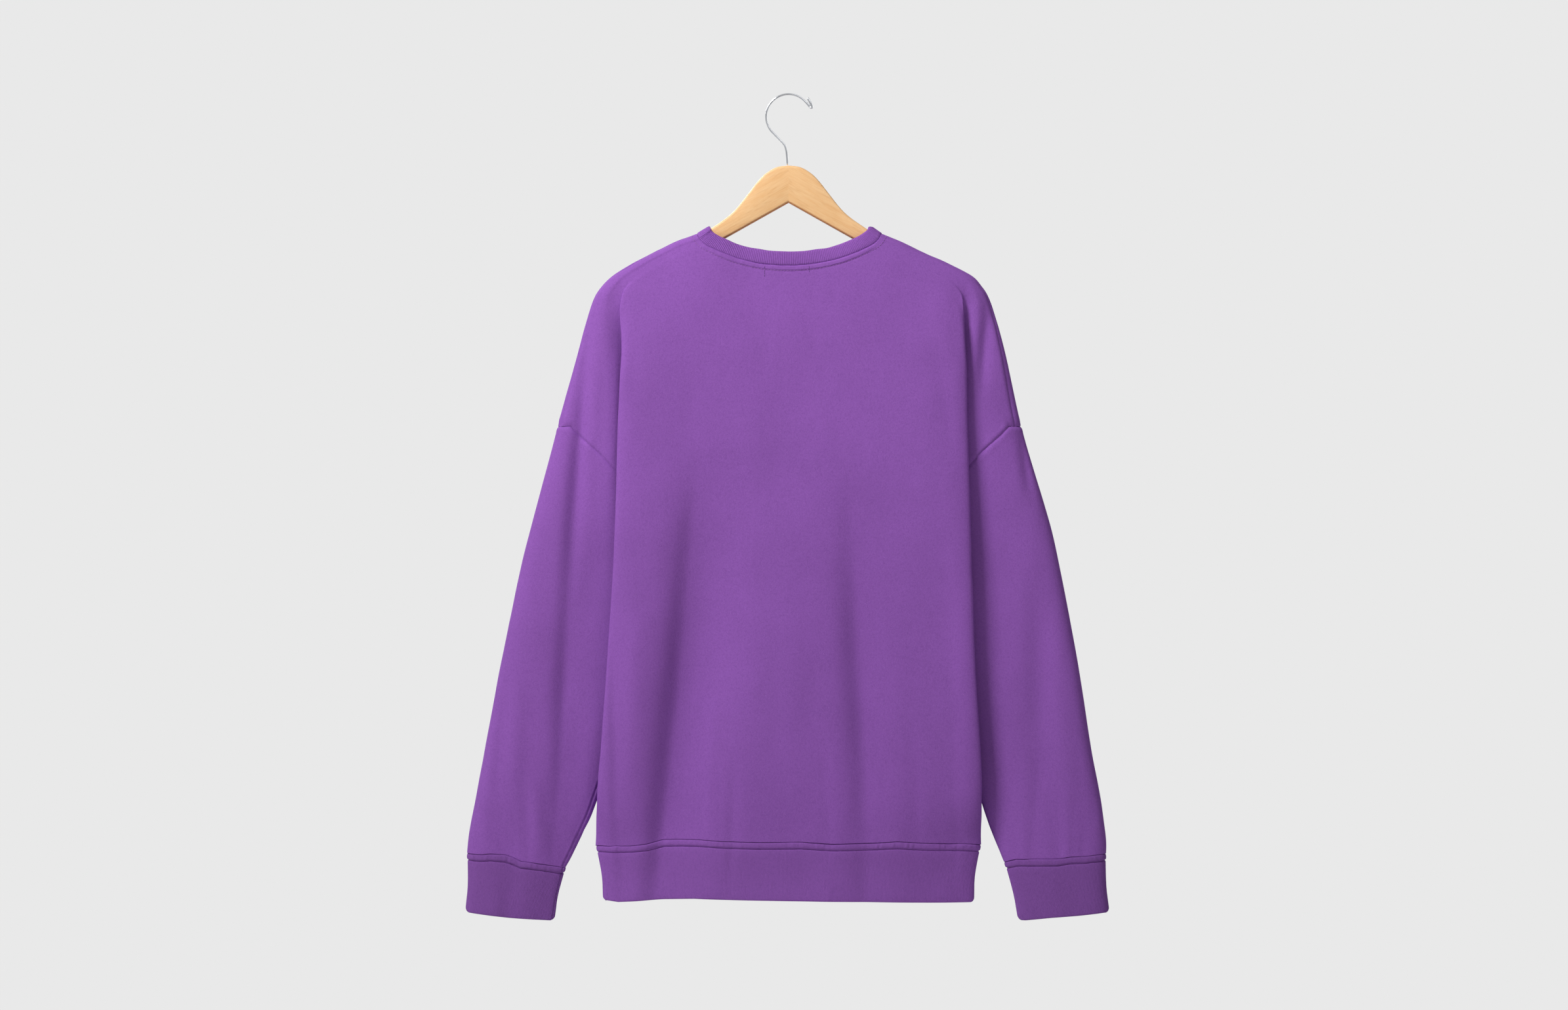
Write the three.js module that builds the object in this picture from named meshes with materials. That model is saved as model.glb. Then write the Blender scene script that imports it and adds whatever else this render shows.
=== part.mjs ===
// Crewneck sweatshirt hung on a wooden hanger, with its back to the viewer.
// Millimetres, +Z up. The origin is the inside top of the hanger's hook, where a rail carries it.
// The garment's back faces -Y, and left and right are the viewer's, so +X is right.
// A "drop" is a height counted down from the origin: z = -drop.
import * as THREE from 'three';

// Cloth
const WALL = 2;
const SEAM_GAP = 0.3;
const FRONT_DEPTH = 0.88;
const INNER_EDGE_TURN = 15;

// Heights on the garment
const NECK_POINT_DROP = 146.5;
const BACK_NECK_DROP = 183.6;
const FRONT_NECK_DROP = 229;
const ARMHOLE_TOP_DROP = 355.6;
const UNDERARM_DROP = 505;
const HEM_SEAM_DROP = 799.4;
const HEM_SIDE_FALL = 6;

// A panel's rows at its centre: the row that ends at the top of the armhole, and the underarm's
const ARMHOLE_ROW_DROP = 362;
const UNDERARM_ROW_DROP = 495;

// Places along a section: the folded edge of the body, the valley behind it, where the flat of the
// sleeve ends, and the outer ridge. Over the ridge the section goes on up to 10 - t.
const VALLEY = 3;
const FLAT_END = 4.6;
const RIDGE = 5;

// The shoulder seam runs a little behind the ridge, as a place along the section
const SHOULDER_SEAM = { left: 4.84, right: 4.74 };

// Neckband: a folded rib
const BAND_HEIGHT = 15.2;
const BAND_WALL = 3;
const RIB_PITCH = 2;
const RIB_RISE = 0.3;
const BAND_LEAN_CENTRE = 8;
const BAND_LEAN_SIDE = 62;
const NECK_POINT_REACH = 98;
const SEAM_CHORD = 2.6;

// Hem band and cuffs
const HEM_BAND_HEIGHT = 57;
const HEM_BAND_TAPER = { width: 0.965, depth: 0.84 };
const CUFF_HEIGHT = 57;
const CUFF_TAPER = { width: 0.9, depth: 0.94 };
const CUFF_SHIFT = { left: -7, right: 9 };
const BAND_ROWS = 5;

// Hanger
const WOOD_THICKNESS = 12;
const WOOD_ROUNDING = 3;
const MITRE_GAP = 0.3;
const WIRE_RADIUS = 1.1;
const HOOK_RADIUS = 24.1;

const COLOURS = { fleece: 0x8658a6, rib: 0x7c5099, wood: 0xefc595, chrome: 0xd8dadc };

// Rows of a table, joined by smooth curves: at(drop) gives every column there
function smoothTable(columns, rows) {
  const slope = (c, i) => {
    const before = rows[Math.max(i - 1, 0)];
    const after = rows[Math.min(i + 1, rows.length - 1)];
    return (after[c] - before[c]) / (after[0] - before[0]);
  };
  return (drop) => {
    const last = rows.length - 2;
    const found = rows.findIndex((row) => row[0] > drop) - 1;
    const i = Math.min(Math.max(found < -1 ? last : found, 0), last);
    const span = rows[i + 1][0] - rows[i][0];
    const s = Math.min(Math.max((drop - rows[i][0]) / span, 0), 1);
    const values = {};
    columns.forEach((name, c) => {
      values[name] = hermite(rows[i][c], slope(c, i) * span, rows[i + 1][c], slope(c, i + 1) * span, s);
    });
    return values;
  };
}

function hermite(p0, m0, p1, m1, s) {
  const s2 = s * s;
  const s3 = s2 * s;
  return p0 * (2 * s3 - 3 * s2 + 1) + m0 * (s3 - 2 * s2 + s) + p1 * (3 * s2 - 2 * s3) + m1 * (s3 - s2);
}

const lerp = THREE.MathUtils.lerp;
const smooth = (value, from, to) => THREE.MathUtils.smoothstep(value, from, to);

// Half-widths of the hung garment by height: the outer edge, the edge of the body where the cloth
// folds back, the valley behind that edge, and the sleeve's inner edge (the valley, above the underarm)
const EDGE_COLUMNS = ['drop', 'outer', 'fold', 'valley', 'inner'];
const EDGES = {
  left: smoothTable(EDGE_COLUMNS, [
    [146.5, 98, 60, 74, 74],
    [166.6, 138.6, 98, 114, 114],
    [180.6, 164.5, 124, 141, 141],
    [194.6, 187.6, 146, 163, 163],
    [205, 198.5, 160, 174, 174],
    [215.6, 205.8, 169, 179, 179],
    [236.6, 213.5, 175, 177, 177],
    [278.6, 225.4, 178, 166, 166],
    [355.6, 246.4, 181, 143, 143],
    [460, 274.3, 184, 113, 113],
    [505, 285.8, 186, 104, 108],
    [600, 305.8, 192, 126, 143],
    [700, 324, 199.5, 166, 185],
    [740, 331.8, 203, 184, 201],
    [770, 337.5, 202.5, 196, 212],
    [800, 342.2, 196, 202, 226],
    [830, 344.5, 196, 202, 241],
  ]),
  right: smoothTable(EDGE_COLUMNS, [
    [146.5, 100, 61, 75, 75],
    [166.6, 137.2, 98, 114, 114],
    [180.6, 168, 126, 143, 143],
    [194.6, 196, 150, 168, 168],
    [205, 206, 166, 180, 180],
    [215.6, 212.8, 177, 186, 186],
    [236.6, 220.5, 185, 184, 184],
    [278.6, 231.7, 188.5, 170, 170],
    [355.6, 248.4, 190, 146, 146],
    [460, 279.3, 193, 116, 116],
    [505, 289.6, 194, 106, 110.5],
    [600, 307.2, 197.5, 129, 146],
    [700, 323.6, 203.5, 170, 187],
    [740, 331, 205, 187, 202],
    [770, 335.6, 203.5, 197, 212],
    [800, 339.2, 196, 201.5, 223],
    [830, 338, 196, 201.5, 236],
  ]),
};

// Half-depths by height: the body at its centre, quarter and folded edge, the valley, the sleeve's
// middle, the radius of the rounded outer edge, and how far the side is folded back (0 to 1)
const depths = smoothTable(['drop', 'centre', 'quarter', 'fold', 'valley', 'sleeve', 'edge', 'folded'], [
  [146.5, 12, 12, 11, 10, 9, 3, 0],
  [184, 17, 16, 13, 11, 9.5, 3, 0],
  [205, 19, 18, 14, 11.5, 10, 3.5, 0],
  [236.6, 22, 21, 17, 12, 11, 5, 0.55],
  [278.6, 25, 25, 20, 11, 12.5, 6, 1],
  [355.6, 29, 30, 23, 8.5, 13.5, 7, 1],
  [460, 33, 34, 27.5, 4.5, 13, 7, 1],
  [505, 34, 35, 28.5, 1.7, 12.5, 7, 1],
  [520, 34, 35, 28.5, 0, 12.5, 7, 1],
  [600, 35, 36, 28.5, 0, 13, 7, 1],
  [700, 36, 37, 27, 0, 13.5, 7, 1],
  [750, 35, 36, 22, 0, 13, 6.5, 0.9],
  [800, 33, 33, 15, 0, 11.5, 6, 0],
  [830, 33, 33, 15, 0, 10.5, 6, 0],
]);

// The largest folds, each a soft trough (or ridge, where depth is negative) along a slanting line
const FOLD_COLUMNS = ['layer', 'x0', 'drop0', 'x1', 'drop1', 'width', 'depth'];
const BODY_FOLDS = [
  ['back', -96, 380, -136, 840, 22, 8.5],
  ['back', -72, 410, -92, 840, 22, -5],
  ['back', 61, 380, 78, 840, 20, 6.5],
  ['back', 94, 450, 112, 820, 24, -3],
  ['back', -162, 520, -170, 820, 18, -4],
  ['front', -50, 360, -74, 840, 22, 8],
  ['front', -100, 420, -122, 820, 22, -4],
  ['front', 84, 400, 116, 840, 22, 7],
  ['front', 38, 440, 52, 820, 22, -4],
  ['front', 150, 500, 160, 820, 18, -3],
].map(namedFold);
const SLEEVE_FOLDS = [
  ['back', -205, 215, -230, 545, 9, 5.5],
  ['back', -192, 225, -212, 560, 10, -3],
  ['back', -240, 480, -256, 790, 13, 3.5],
  ['back', 213, 210, 206, 330, 7, 4],
  ['back', 249, 330, 262, 450, 7, 3],
  ['back', 262, 470, 276, 790, 14, 3],
  ['front', -222, 240, -236, 560, 11, 5],
  ['front', -262, 500, -284, 780, 13, 3],
  ['front', 218, 235, 232, 560, 11, 5],
  ['front', 252, 480, 270, 790, 13, 3],
].map(namedFold);

function namedFold(row) {
  return Object.fromEntries(FOLD_COLUMNS.map((name, c) => [name, row[c]]));
}

// How far the folds of one layer push the cloth inward at a place on it
function foldDepth(folds, layer, x, drop) {
  return folds.reduce((sum, fold) => {
    const along = (drop - fold.drop0) / (fold.drop1 - fold.drop0);
    if (fold.layer !== layer || along <= 0 || along >= 1) return sum;
    const across = (x - lerp(fold.x0, fold.x1, along)) / fold.width;
    return sum + fold.depth * Math.sin(Math.PI * along) ** 1.5 * Math.exp(-across * across);
  }, 0);
}

// A horizontal section of one side and layer is a chain of curves through six knots: centre (0),
// quarter (1), folded edge (2), valley (3), middle of the sleeve (4) and outer edge (5).
// A knot is [x, y, tangent x, tangent y], for the right side of the front.
function sectionKnots(side, layer, drop) {
  const edge = EDGES[side](drop);
  const depth = depths(drop);
  const flatten = layer === 'front' ? FRONT_DEPTH : 1;
  const quarterX = edge.fold * 0.55;
  const middleX = (edge.valley + edge.outer) / 2;
  const free = 1 - depth.folded;
  const isOpen = drop <= UNDERARM_DROP;
  const foldTurn = -26 * depth.folded;
  const valleyY = Math.max(depth.valley, 0);
  const valleyTurn = -38 * Math.min(valleyY / 9 + smooth(drop, UNDERARM_DROP, 540), 1);
  const foldY = depth.fold * flatten;
  const sleeveRun = (edge.outer - edge.valley) / 2;
  const edgeTurn = -Math.sqrt(depth.edge * 4 * sleeveRun);
  return [
    [0, depth.centre * flatten, quarterX * 1.1, 0],
    [quarterX, depth.quarter * flatten, edge.fold / 2, (foldY - depth.centre * flatten) * 0.25],
    [edge.fold, foldY, free * (edge.valley - quarterX) / 2,
      foldTurn + free * (valleyY - depth.quarter * flatten) / 2],
    [edge.valley, valleyY, isOpen ? free * (middleX - edge.fold) / 2 : 0,
      isOpen ? depth.folded * valleyTurn + free * (depth.sleeve - foldY) / 2 : lerp(valleyTurn, -18, free)],
    [middleX, depth.sleeve, sleeveRun, 0],
    [edge.outer, 0, 0, edgeTurn],
  ];
}

function alongKnots(knots, t) {
  const i = Math.min(Math.max(Math.floor(t), 0), knots.length - 2);
  const [a, b] = [knots[i], knots[i + 1]];
  return [0, 1].map((k) => hermite(a[k], a[k + 2], b[k], b[k + 2], t - i));
}

// Past the outer edge a section goes on over the ridge onto the other layer
function turnedOver(layer, t) {
  if (t <= RIDGE) return [layer, t];
  return [layer === 'front' ? 'back' : 'front', 2 * RIDGE - t];
}

function place(side, layer, x, y, drop) {
  return new THREE.Vector3(side === 'right' ? x : -x, layer === 'front' ? y : -y, -drop);
}

// A point of the body and its shoulders
function bodyPoint(side, startLayer, startT, drop) {
  const [layer, t] = turnedOver(startLayer, startT);
  const [x, y] = alongKnots(sectionKnots(side, layer, drop), t);
  const signedX = side === 'right' ? x : -x;
  const bodyFade = 1 - smooth(t, 1.5, 1.95);
  const inward = bodyFade * foldDepth(BODY_FOLDS, layer, signedX, drop)
    + sleeveFade(t) * foldDepth(SLEEVE_FOLDS, layer, signedX, drop);
  return place(side, layer, x, y - inward, drop);
}

// Folds of the sleeve fade out at the valley and at the ridge
function sleeveFade(t) {
  return smooth(t, 3.2, 3.8) * (1 - smooth(t, FLAT_END, 4.95));
}

// A point of a sleeve, whose section closes on itself at the inner edge below the underarm
function sleevePoint(side, startLayer, startT, drop) {
  const [layer, t] = turnedOver(startLayer, startT);
  const knots = sectionKnots(side, layer, drop).slice(VALLEY);
  const edge = EDGES[side](drop);
  const closed = smooth(drop, UNDERARM_DROP - 10, UNDERARM_DROP + 30);
  knots[0][0] = edge.inner;
  knots[0][3] = lerp(knots[0][3], INNER_EDGE_TURN, closed);
  knots[1][0] = (edge.inner + edge.outer) / 2;
  const [x, y] = alongKnots(knots, t - VALLEY);
  const signedX = side === 'right' ? x : -x;
  return place(side, layer, x, y - sleeveFade(t) * foldDepth(SLEEVE_FOLDS, layer, signedX, drop), drop);
}

// Which way is out of the garment at a place on one of those surfaces
function outwardNormal(surface, side, layer, t, drop) {
  const step = 0.01;
  const across = surface(side, layer, t + step, drop).sub(surface(side, layer, t - step, drop));
  const down = surface(side, layer, t, drop + 0.5).sub(surface(side, layer, t, drop - 0.5));
  const sign = (side === 'right' ? 1 : -1) * (layer === 'front' ? 1 : -1);
  return across.cross(down).multiplyScalar(sign).normalize();
}

// Middle surface of a piece of cloth: points with outward normals, and faces that look outward
class Sheet {
  constructor() {
    this.points = [];
    this.normals = [];
    this.faces = [];
    this.found = new Map();
  }

  vertex(point, normal) {
    const key = point.toArray().map((value) => Math.round(value * 500)).join();
    if (!this.found.has(key)) {
      this.found.set(key, this.points.length);
      this.points.push(point);
      this.normals.push(normal);
    }
    return this.found.get(key);
  }

  // rows of vertex numbers; flip where the grid runs the other way round
  grid(rows, flip) {
    for (let j = 0; j + 1 < rows.length; j += 1) {
      for (let i = 0; i + 1 < rows[j].length; i += 1) {
        const [a, b, c, d] = [rows[j][i], rows[j][i + 1], rows[j + 1][i + 1], rows[j + 1][i]];
        this.face(a, b, c, flip);
        this.face(a, c, d, flip);
      }
    }
  }

  face(a, b, c, flip) {
    if (a === b || b === c || c === a) return;
    this.faces.push(flip ? [a, c, b] : [a, b, c]);
  }

  // A row of vertices kept as [point, normal], for the piece that is sewn on there
  seam(numbers) {
    return numbers.map((k) => [this.points[k].clone(), this.normals[k]]);
  }

  // Edges with cloth on one side only, in the direction of their face
  openEdges() {
    const edges = new Map();
    this.faces.forEach((face) => face.forEach((a, k) => {
      const b = face[(k + 1) % 3];
      edges.set(`${a},${b}`, [a, b]);
    }));
    return [...edges.values()].filter(([a, b]) => !edges.has(`${b},${a}`));
  }

  // Draws the sheet's edge back along the cloth, which leaves half of a seam's gap
  trim(distance) {
    const shift = new Map();
    this.openEdges().forEach(([a, b]) => {
      const run = this.points[b].clone().sub(this.points[a]);
      [a, b].forEach((k) => {
        const inward = this.normals[k].clone().cross(run).normalize();
        shift.set(k, (shift.get(k) ?? new THREE.Vector3()).add(inward));
      });
    });
    shift.forEach((inward, k) => this.points[k].addScaledVector(inward.normalize(), distance));
  }

  // Closed wall: the sheet moved out and in by half the thickness, joined along its edges
  wall(thickness) {
    const count = this.points.length;
    const moved = (far) => this.points.map((p, k) => p.clone().addScaledVector(this.normals[k], far));
    const corners = [...moved(thickness / 2), ...moved(-thickness / 2)];
    const inner = this.faces.map(([a, b, c]) => [a + count, c + count, b + count]);
    // The rim's diagonals lean one way, so that two pieces match across their seam
    const rim = this.openEdges().flatMap(([a, b]) => (this.points[a].x < this.points[b].x
      ? [[b, a, b + count], [a, a + count, b + count]]
      : [[b, a, a + count], [b, a + count, b + count]]));
    return solid(corners, [...this.faces, ...inner, ...rim]);
  }
}

function solid(corners, faces) {
  const geometry = new THREE.BufferGeometry();
  geometry.setAttribute('position', new THREE.Float32BufferAttribute(corners.flatMap((p) => p.toArray()), 3));
  geometry.setIndex(faces.flat());
  geometry.computeVertexNormals();
  return geometry;
}

// Where each column of a panel lies along the section: body, folded side, then the shoulder's cap
const BODY_COLUMNS = [0, 0.3, 0.6, 0.9, 1.2, 1.48, 1.72, 1.88, 2, 2.14, 2.45, 2.8, VALLEY];
const CAP_COLUMNS = [VALLEY, 3.1, 3.25, 3.45, 3.7, 3.95, 4.2, 4.42, FLAT_END];
const SHOULDER_ROW_ENDS = [NECK_POINT_DROP, 160, 176, 194, 216, 252, 300, ARMHOLE_TOP_DROP];
const SIDE_ROWS = 7;
const NECK_ROWS = 5;

// Cap columns of one layer, out to the shoulder seam, which lies on the back layer
function capColumns(side, layer) {
  const seam = SHOULDER_SEAM[side];
  return layer === 'back' ? [...CAP_COLUMNS, seam] : [...CAP_COLUMNS, seam, RIDGE, 2 * RIDGE - seam];
}

// The armhole seam's drop by its place along the section, the same on both layers
function armholeDrop(t) {
  const reach = Math.min(t > RIDGE ? 2 * RIDGE - t : t, FLAT_END);
  const s = (FLAT_END - reach) / (FLAT_END - VALLEY);
  return lerp(ARMHOLE_TOP_DROP, UNDERARM_DROP, 0.62 * s + 0.38 * s ** 3);
}

// Place along the upper section whose x is the wanted one
function placeOfX(side, layer, x, drop) {
  let [low, high] = [0, RIDGE];
  for (let k = 0; k < 40; k += 1) {
    const middle = (low + high) / 2;
    if (Math.abs(bodyPoint(side, layer, middle, drop).x) < x) low = middle;
    else high = middle;
  }
  return (low + high) / 2;
}

// The neck seam of one side and layer, from the centre out, as [t, drop] for every column
function neckSeam(side, layer) {
  const columns = [...BODY_COLUMNS, ...capColumns(side, layer).slice(1)];
  const ridge = layer === 'back' ? columns.length - 1 : columns.length - 3;
  const end = columns[ridge];
  const centreDrop = layer === 'back' ? BACK_NECK_DROP : FRONT_NECK_DROP;
  const reach = Math.abs(bodyPoint(side, layer, end, NECK_POINT_DROP).x);
  return columns.map((t, i) => {
    if (i >= ridge) return [t, NECK_POINT_DROP];
    const angle = (Math.PI / 2) * (i / ridge);
    const drop = lerp(NECK_POINT_DROP, centreDrop, Math.cos(angle) ** (layer === 'back' ? 1.25 : 1.1));
    return [placeOfX(side, layer, reach * Math.sin(angle), drop), drop];
  });
}

// Rows of a panel: drop at the centre, at the valley and at the row's end, and which cap place it
// ends at. Shoulder rows end on the shoulder seam, armhole rows on the armhole, the rest at the side.
function panelRows(side, layer) {
  const centreTop = layer === 'back' ? BACK_NECK_DROP : FRONT_NECK_DROP;
  const cap = capColumns(side, layer);
  const lastShoulderRow = SHOULDER_ROW_ENDS.length - 1;
  const rows = SHOULDER_ROW_ENDS.map((end, j) => {
    const centre = lerp(centreTop, ARMHOLE_ROW_DROP, (j / lastShoulderRow) ** 1.1);
    const sag = 14 * smooth(j, NECK_ROWS - 2, lastShoulderRow);
    return { centre, valley: lerp(end, centre, 0.5) - sag, end, capEnd: cap[cap.length - 1] };
  });
  cap.slice(0, -1).reverse().forEach((t, j, list) => {
    const centre = lerp(ARMHOLE_ROW_DROP, UNDERARM_ROW_DROP, (j + 1) / list.length);
    rows.push({ centre, valley: armholeRowValley(t), end: armholeDrop(t), capEnd: t });
  });
  for (let j = 1; j <= SIDE_ROWS; j += 1) {
    const sideDrop = lerp(UNDERARM_DROP, HEM_SEAM_DROP + HEM_SIDE_FALL, j / SIDE_ROWS);
    const centre = lerp(UNDERARM_ROW_DROP, HEM_SEAM_DROP, j / SIDE_ROWS);
    rows.push({ centre, valley: sideDrop, end: sideDrop, capEnd: VALLEY });
  }
  return rows;
}

// Where a row that ends on the armhole at place t crosses the valley
function armholeRowValley(t) {
  const [top, overRidge] = [350, 345];
  if (t > FLAT_END) return lerp(top, overRidge, (t - FLAT_END) / 0.6);
  return lerp(UNDERARM_DROP, top, 1 - ((FLAT_END - t) / (FLAT_END - VALLEY)) ** 0.8);
}

// One half of a panel as rows of [t, drop]. Near the neck the rows follow the neck seam.
function panelPlaces(side, layer) {
  const neckPlaces = neckSeam(side, layer);
  const neckCentre = neckPlaces[0][1];
  const cap = capColumns(side, layer);
  const capParts = cap.slice(1).map((t) => (t - VALLEY) / (cap[cap.length - 1] - VALLEY));
  return panelRows(side, layer).map((row, j) => {
    const columns = BODY_COLUMNS.map((t) => [t, lerp(row.centre, row.valley, (t / VALLEY) ** 2)]);
    if (row.capEnd > VALLEY || row.end <= UNDERARM_DROP) {
      capParts.forEach((part) => {
        columns.push([lerp(VALLEY, row.capEnd, part), lerp(row.valley, row.end, part)]);
      });
    }
    if (j >= NECK_ROWS) return columns;
    const follow = 1 - smooth(j, 0, NECK_ROWS);
    return columns.map(([t, drop], i) => {
      const [neckT, neckDrop] = neckPlaces[i];
      const level = (neckDrop - neckCentre) / (NECK_POINT_DROP - neckCentre);
      return [lerp(t, neckT, follow), lerp(drop, lerp(row.centre, row.end, level), follow)];
    });
  });
}

// A panel of the body, both halves joined at the centre, with its neck and hem seams before trimming
function panelSheet(layer) {
  const sheet = new Sheet();
  const [neck, hem] = [{}, {}];
  const bodyWidth = BODY_COLUMNS.length;
  ['left', 'right'].forEach((side) => {
    const numbers = panelPlaces(side, layer).map((row) => row.map(([t, drop]) => {
      const normal = outwardNormal(bodyPoint, side, layer, t, drop);
      return sheet.vertex(bodyPoint(side, layer, t, drop), normal);
    }));
    const flip = (side === 'right') !== (layer === 'front');
    const underarmRow = numbers.findIndex((row) => row.length === bodyWidth) - 1;
    sheet.grid(numbers.map((row) => row.slice(0, bodyWidth)), flip);
    sheet.grid(numbers.slice(0, underarmRow + 1).map((row) => row.slice(bodyWidth - 1)), flip);
    neck[side] = sheet.seam(numbers[0]);
    hem[side] = sheet.seam(numbers[numbers.length - 1]);
  });
  sheet.trim(SEAM_GAP / 2);
  return { sheet, neck, hem };
}

// Drop of a cuff's seam by its place round the sleeve
function cuffSeamDrop(side, t) {
  const reach = t > RIDGE ? 2 * RIDGE - t : t;
  return side === 'left'
    ? lerp(826, 812.5, smooth(reach, 3.4, 4.4))
    : lerp(822, 813.5, smooth(reach, 3.2, 4.6));
}

// Places round a sleeve, from its inner edge over the back to the outer edge and back on the front
function sleeveColumns(side) {
  const back = [...CAP_COLUMNS, SHOULDER_SEAM[side], RIDGE];
  const front = back.slice(1, -1).reverse().map((t) => 2 * RIDGE - t);
  return [...back, ...front];
}

function sleeveSheet(side) {
  const sheet = new Sheet();
  const columns = sleeveColumns(side);
  const rings = 17;
  const rows = [];
  for (let j = 0; j <= rings; j += 1) {
    const part = (j / rings) ** 0.92;
    const row = columns.map((t) => {
      const drop = lerp(armholeDrop(t), cuffSeamDrop(side, t), part);
      const normal = outwardNormal(sleevePoint, side, 'back', t, drop);
      return sheet.vertex(sleevePoint(side, 'back', t, drop), normal);
    });
    rows.push([...row, row[0]]);
  }
  sheet.grid(rows, side === 'right');
  const cuff = sheet.seam(rows[rings]);
  sheet.trim(SEAM_GAP / 2);
  return { sheet, cuff };
}

// A ribbed band hung from a seam: the seam's loop carried down, drawn in towards its own middle
function bandSheet(loop, height, taper, shift, rows, flip) {
  const sheet = new Sheet();
  const middle = new THREE.Vector3();
  loop.slice(1).forEach(([p]) => middle.addScaledVector(p, 1 / (loop.length - 1)));
  const numbers = [];
  for (let j = 0; j <= rows; j += 1) {
    const part = j / rows;
    const drawn = smooth(part, -0.2, 0.75) * 0.85 + part * 0.15;
    const width = lerp(1, taper.width, drawn);
    const depth = lerp(1, taper.depth, drawn);
    numbers.push(loop.map(([p, normal]) => {
      const fall = lerp(SEAM_GAP, height + (middle.z - p.z) * -0.35, part);
      const point = new THREE.Vector3(
        middle.x + (p.x - middle.x) * width + shift * part,
        middle.y + (p.y - middle.y) * depth,
        p.z - fall);
      return sheet.vertex(point, new THREE.Vector3(normal.x, normal.y, 0).normalize());
    }));
  }
  sheet.grid(numbers, flip);
  return sheet;
}

// A closed loop of seam places, sampled at equal steps along its straight stretches
function resample(loop, count) {
  const runs = loop.slice(1).map(([p], k) => p.distanceTo(loop[k][0]));
  const total = runs.reduce((sum, run) => sum + run, 0);
  const samples = [];
  let [k, passed] = [0, 0];
  for (let n = 0; n < count; n += 1) {
    const target = (total * n) / count;
    while (passed + runs[k] < target) {
      passed += runs[k];
      k += 1;
    }
    const part = (target - passed) / runs[k];
    samples.push(loop[k][0].clone().lerp(loop[k + 1][0], part));
  }
  return samples;
}

// The neckband: ribs raised on its outside, plain inside, standing up from the neck seam
function neckbandGeometry(loop) {
  const length = loop.slice(1).reduce((sum, [p], k) => sum + p.distanceTo(loop[k][0]), 0);
  const ribs = Math.round(length / RIB_PITCH);
  const innerCount = Math.round(ribs / 5);
  const ring = (count, height, offset) => resample(loop, count).map((p, n, all) => {
    const ahead = Math.ceil((SEAM_CHORD * count) / length);
    const run = all[(n + ahead) % count].clone().sub(all[(n + count - ahead) % count]).normalize();
    const sideways = Math.min(Math.abs(p.x) / NECK_POINT_REACH, 1) ** 2.5;
    const lean = THREE.MathUtils.degToRad(lerp(BAND_LEAN_CENTRE, BAND_LEAN_SIDE, sideways));
    const inward = new THREE.Vector3(-p.x * sideways, -p.y, 0).normalize();
    const rise = new THREE.Vector3(0, 0, Math.cos(lean)).addScaledVector(inward, Math.sin(lean));
    rise.addScaledVector(run, -rise.dot(run)).normalize();
    const out = run.clone().cross(rise).normalize();
    const raised = offset > 0 ? (n % 2) * RIB_RISE : 0;
    return p.clone().addScaledVector(rise, height).addScaledVector(out, offset + raised);
  });
  const bottom = SEAM_GAP * 3;
  const middle = BAND_HEIGHT * 0.55;
  const half = BAND_WALL / 2;
  const rings = [
    ring(ribs * 2, bottom, half),
    ring(ribs * 2, middle, half),
    ring(ribs * 2, BAND_HEIGHT, half * 0.7),
    ring(innerCount, BAND_HEIGHT, -half * 0.7),
    ring(innerCount, middle, -half),
    ring(innerCount, bottom, -half),
  ];
  return stitchedRings(rings);
}

// Closed solid through rings that may have different numbers of points
function stitchedRings(rings) {
  const corners = rings.flat();
  const starts = rings.map((_, k) => rings.slice(0, k).reduce((sum, ring) => sum + ring.length, 0));
  const faces = rings.flatMap((ring, k) => {
    const next = (k + 1) % rings.length;
    return zip(starts[k], ring.length, starts[next], rings[next].length);
  });
  return solid(corners, faces);
}

// Triangles between two closed rings, advancing on the one that lags behind
function zip(startA, countA, startB, countB) {
  const faces = [];
  let [a, b] = [0, 0];
  while (a < countA || b < countB) {
    const here = [startA + (a % countA), startB + (b % countB)];
    if (b >= countB || (a < countA && (a + 0.5) / countA <= (b + 0.5) / countB)) {
      a += 1;
      faces.push([here[0], startA + (a % countA), here[1]]);
    } else {
      b += 1;
      faces.push([here[0], startB + (b % countB), here[1]]);
    }
  }
  return faces;
}

// A seam of both panels as one closed loop: the back from left to right, then the front
function closedLoop(back, front) {
  return [
    ...back.left.slice().reverse(),
    ...back.right.slice(1),
    ...front.right.slice(0, -1).reverse(),
    ...front.left.slice(1),
  ];
}

// Outline of the hanger's arm as [x, drop]: the hump, the rounded tip as a curve's four controls,
// and the straight underside
const ARM_HUMP = [
  [0, 75.6], [13, 77.6], [25, 84.7], [34, 94], [42, 104.3], [56.5, 122.5], [68, 132.8], [84, 143.8],
];
const ARM_TIP = [[184, 197.6], [196, 205], [194, 222], [180, 216]];
const ARM_UNDERSIDE = [[72, 156], [0, 115.5]];

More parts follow.
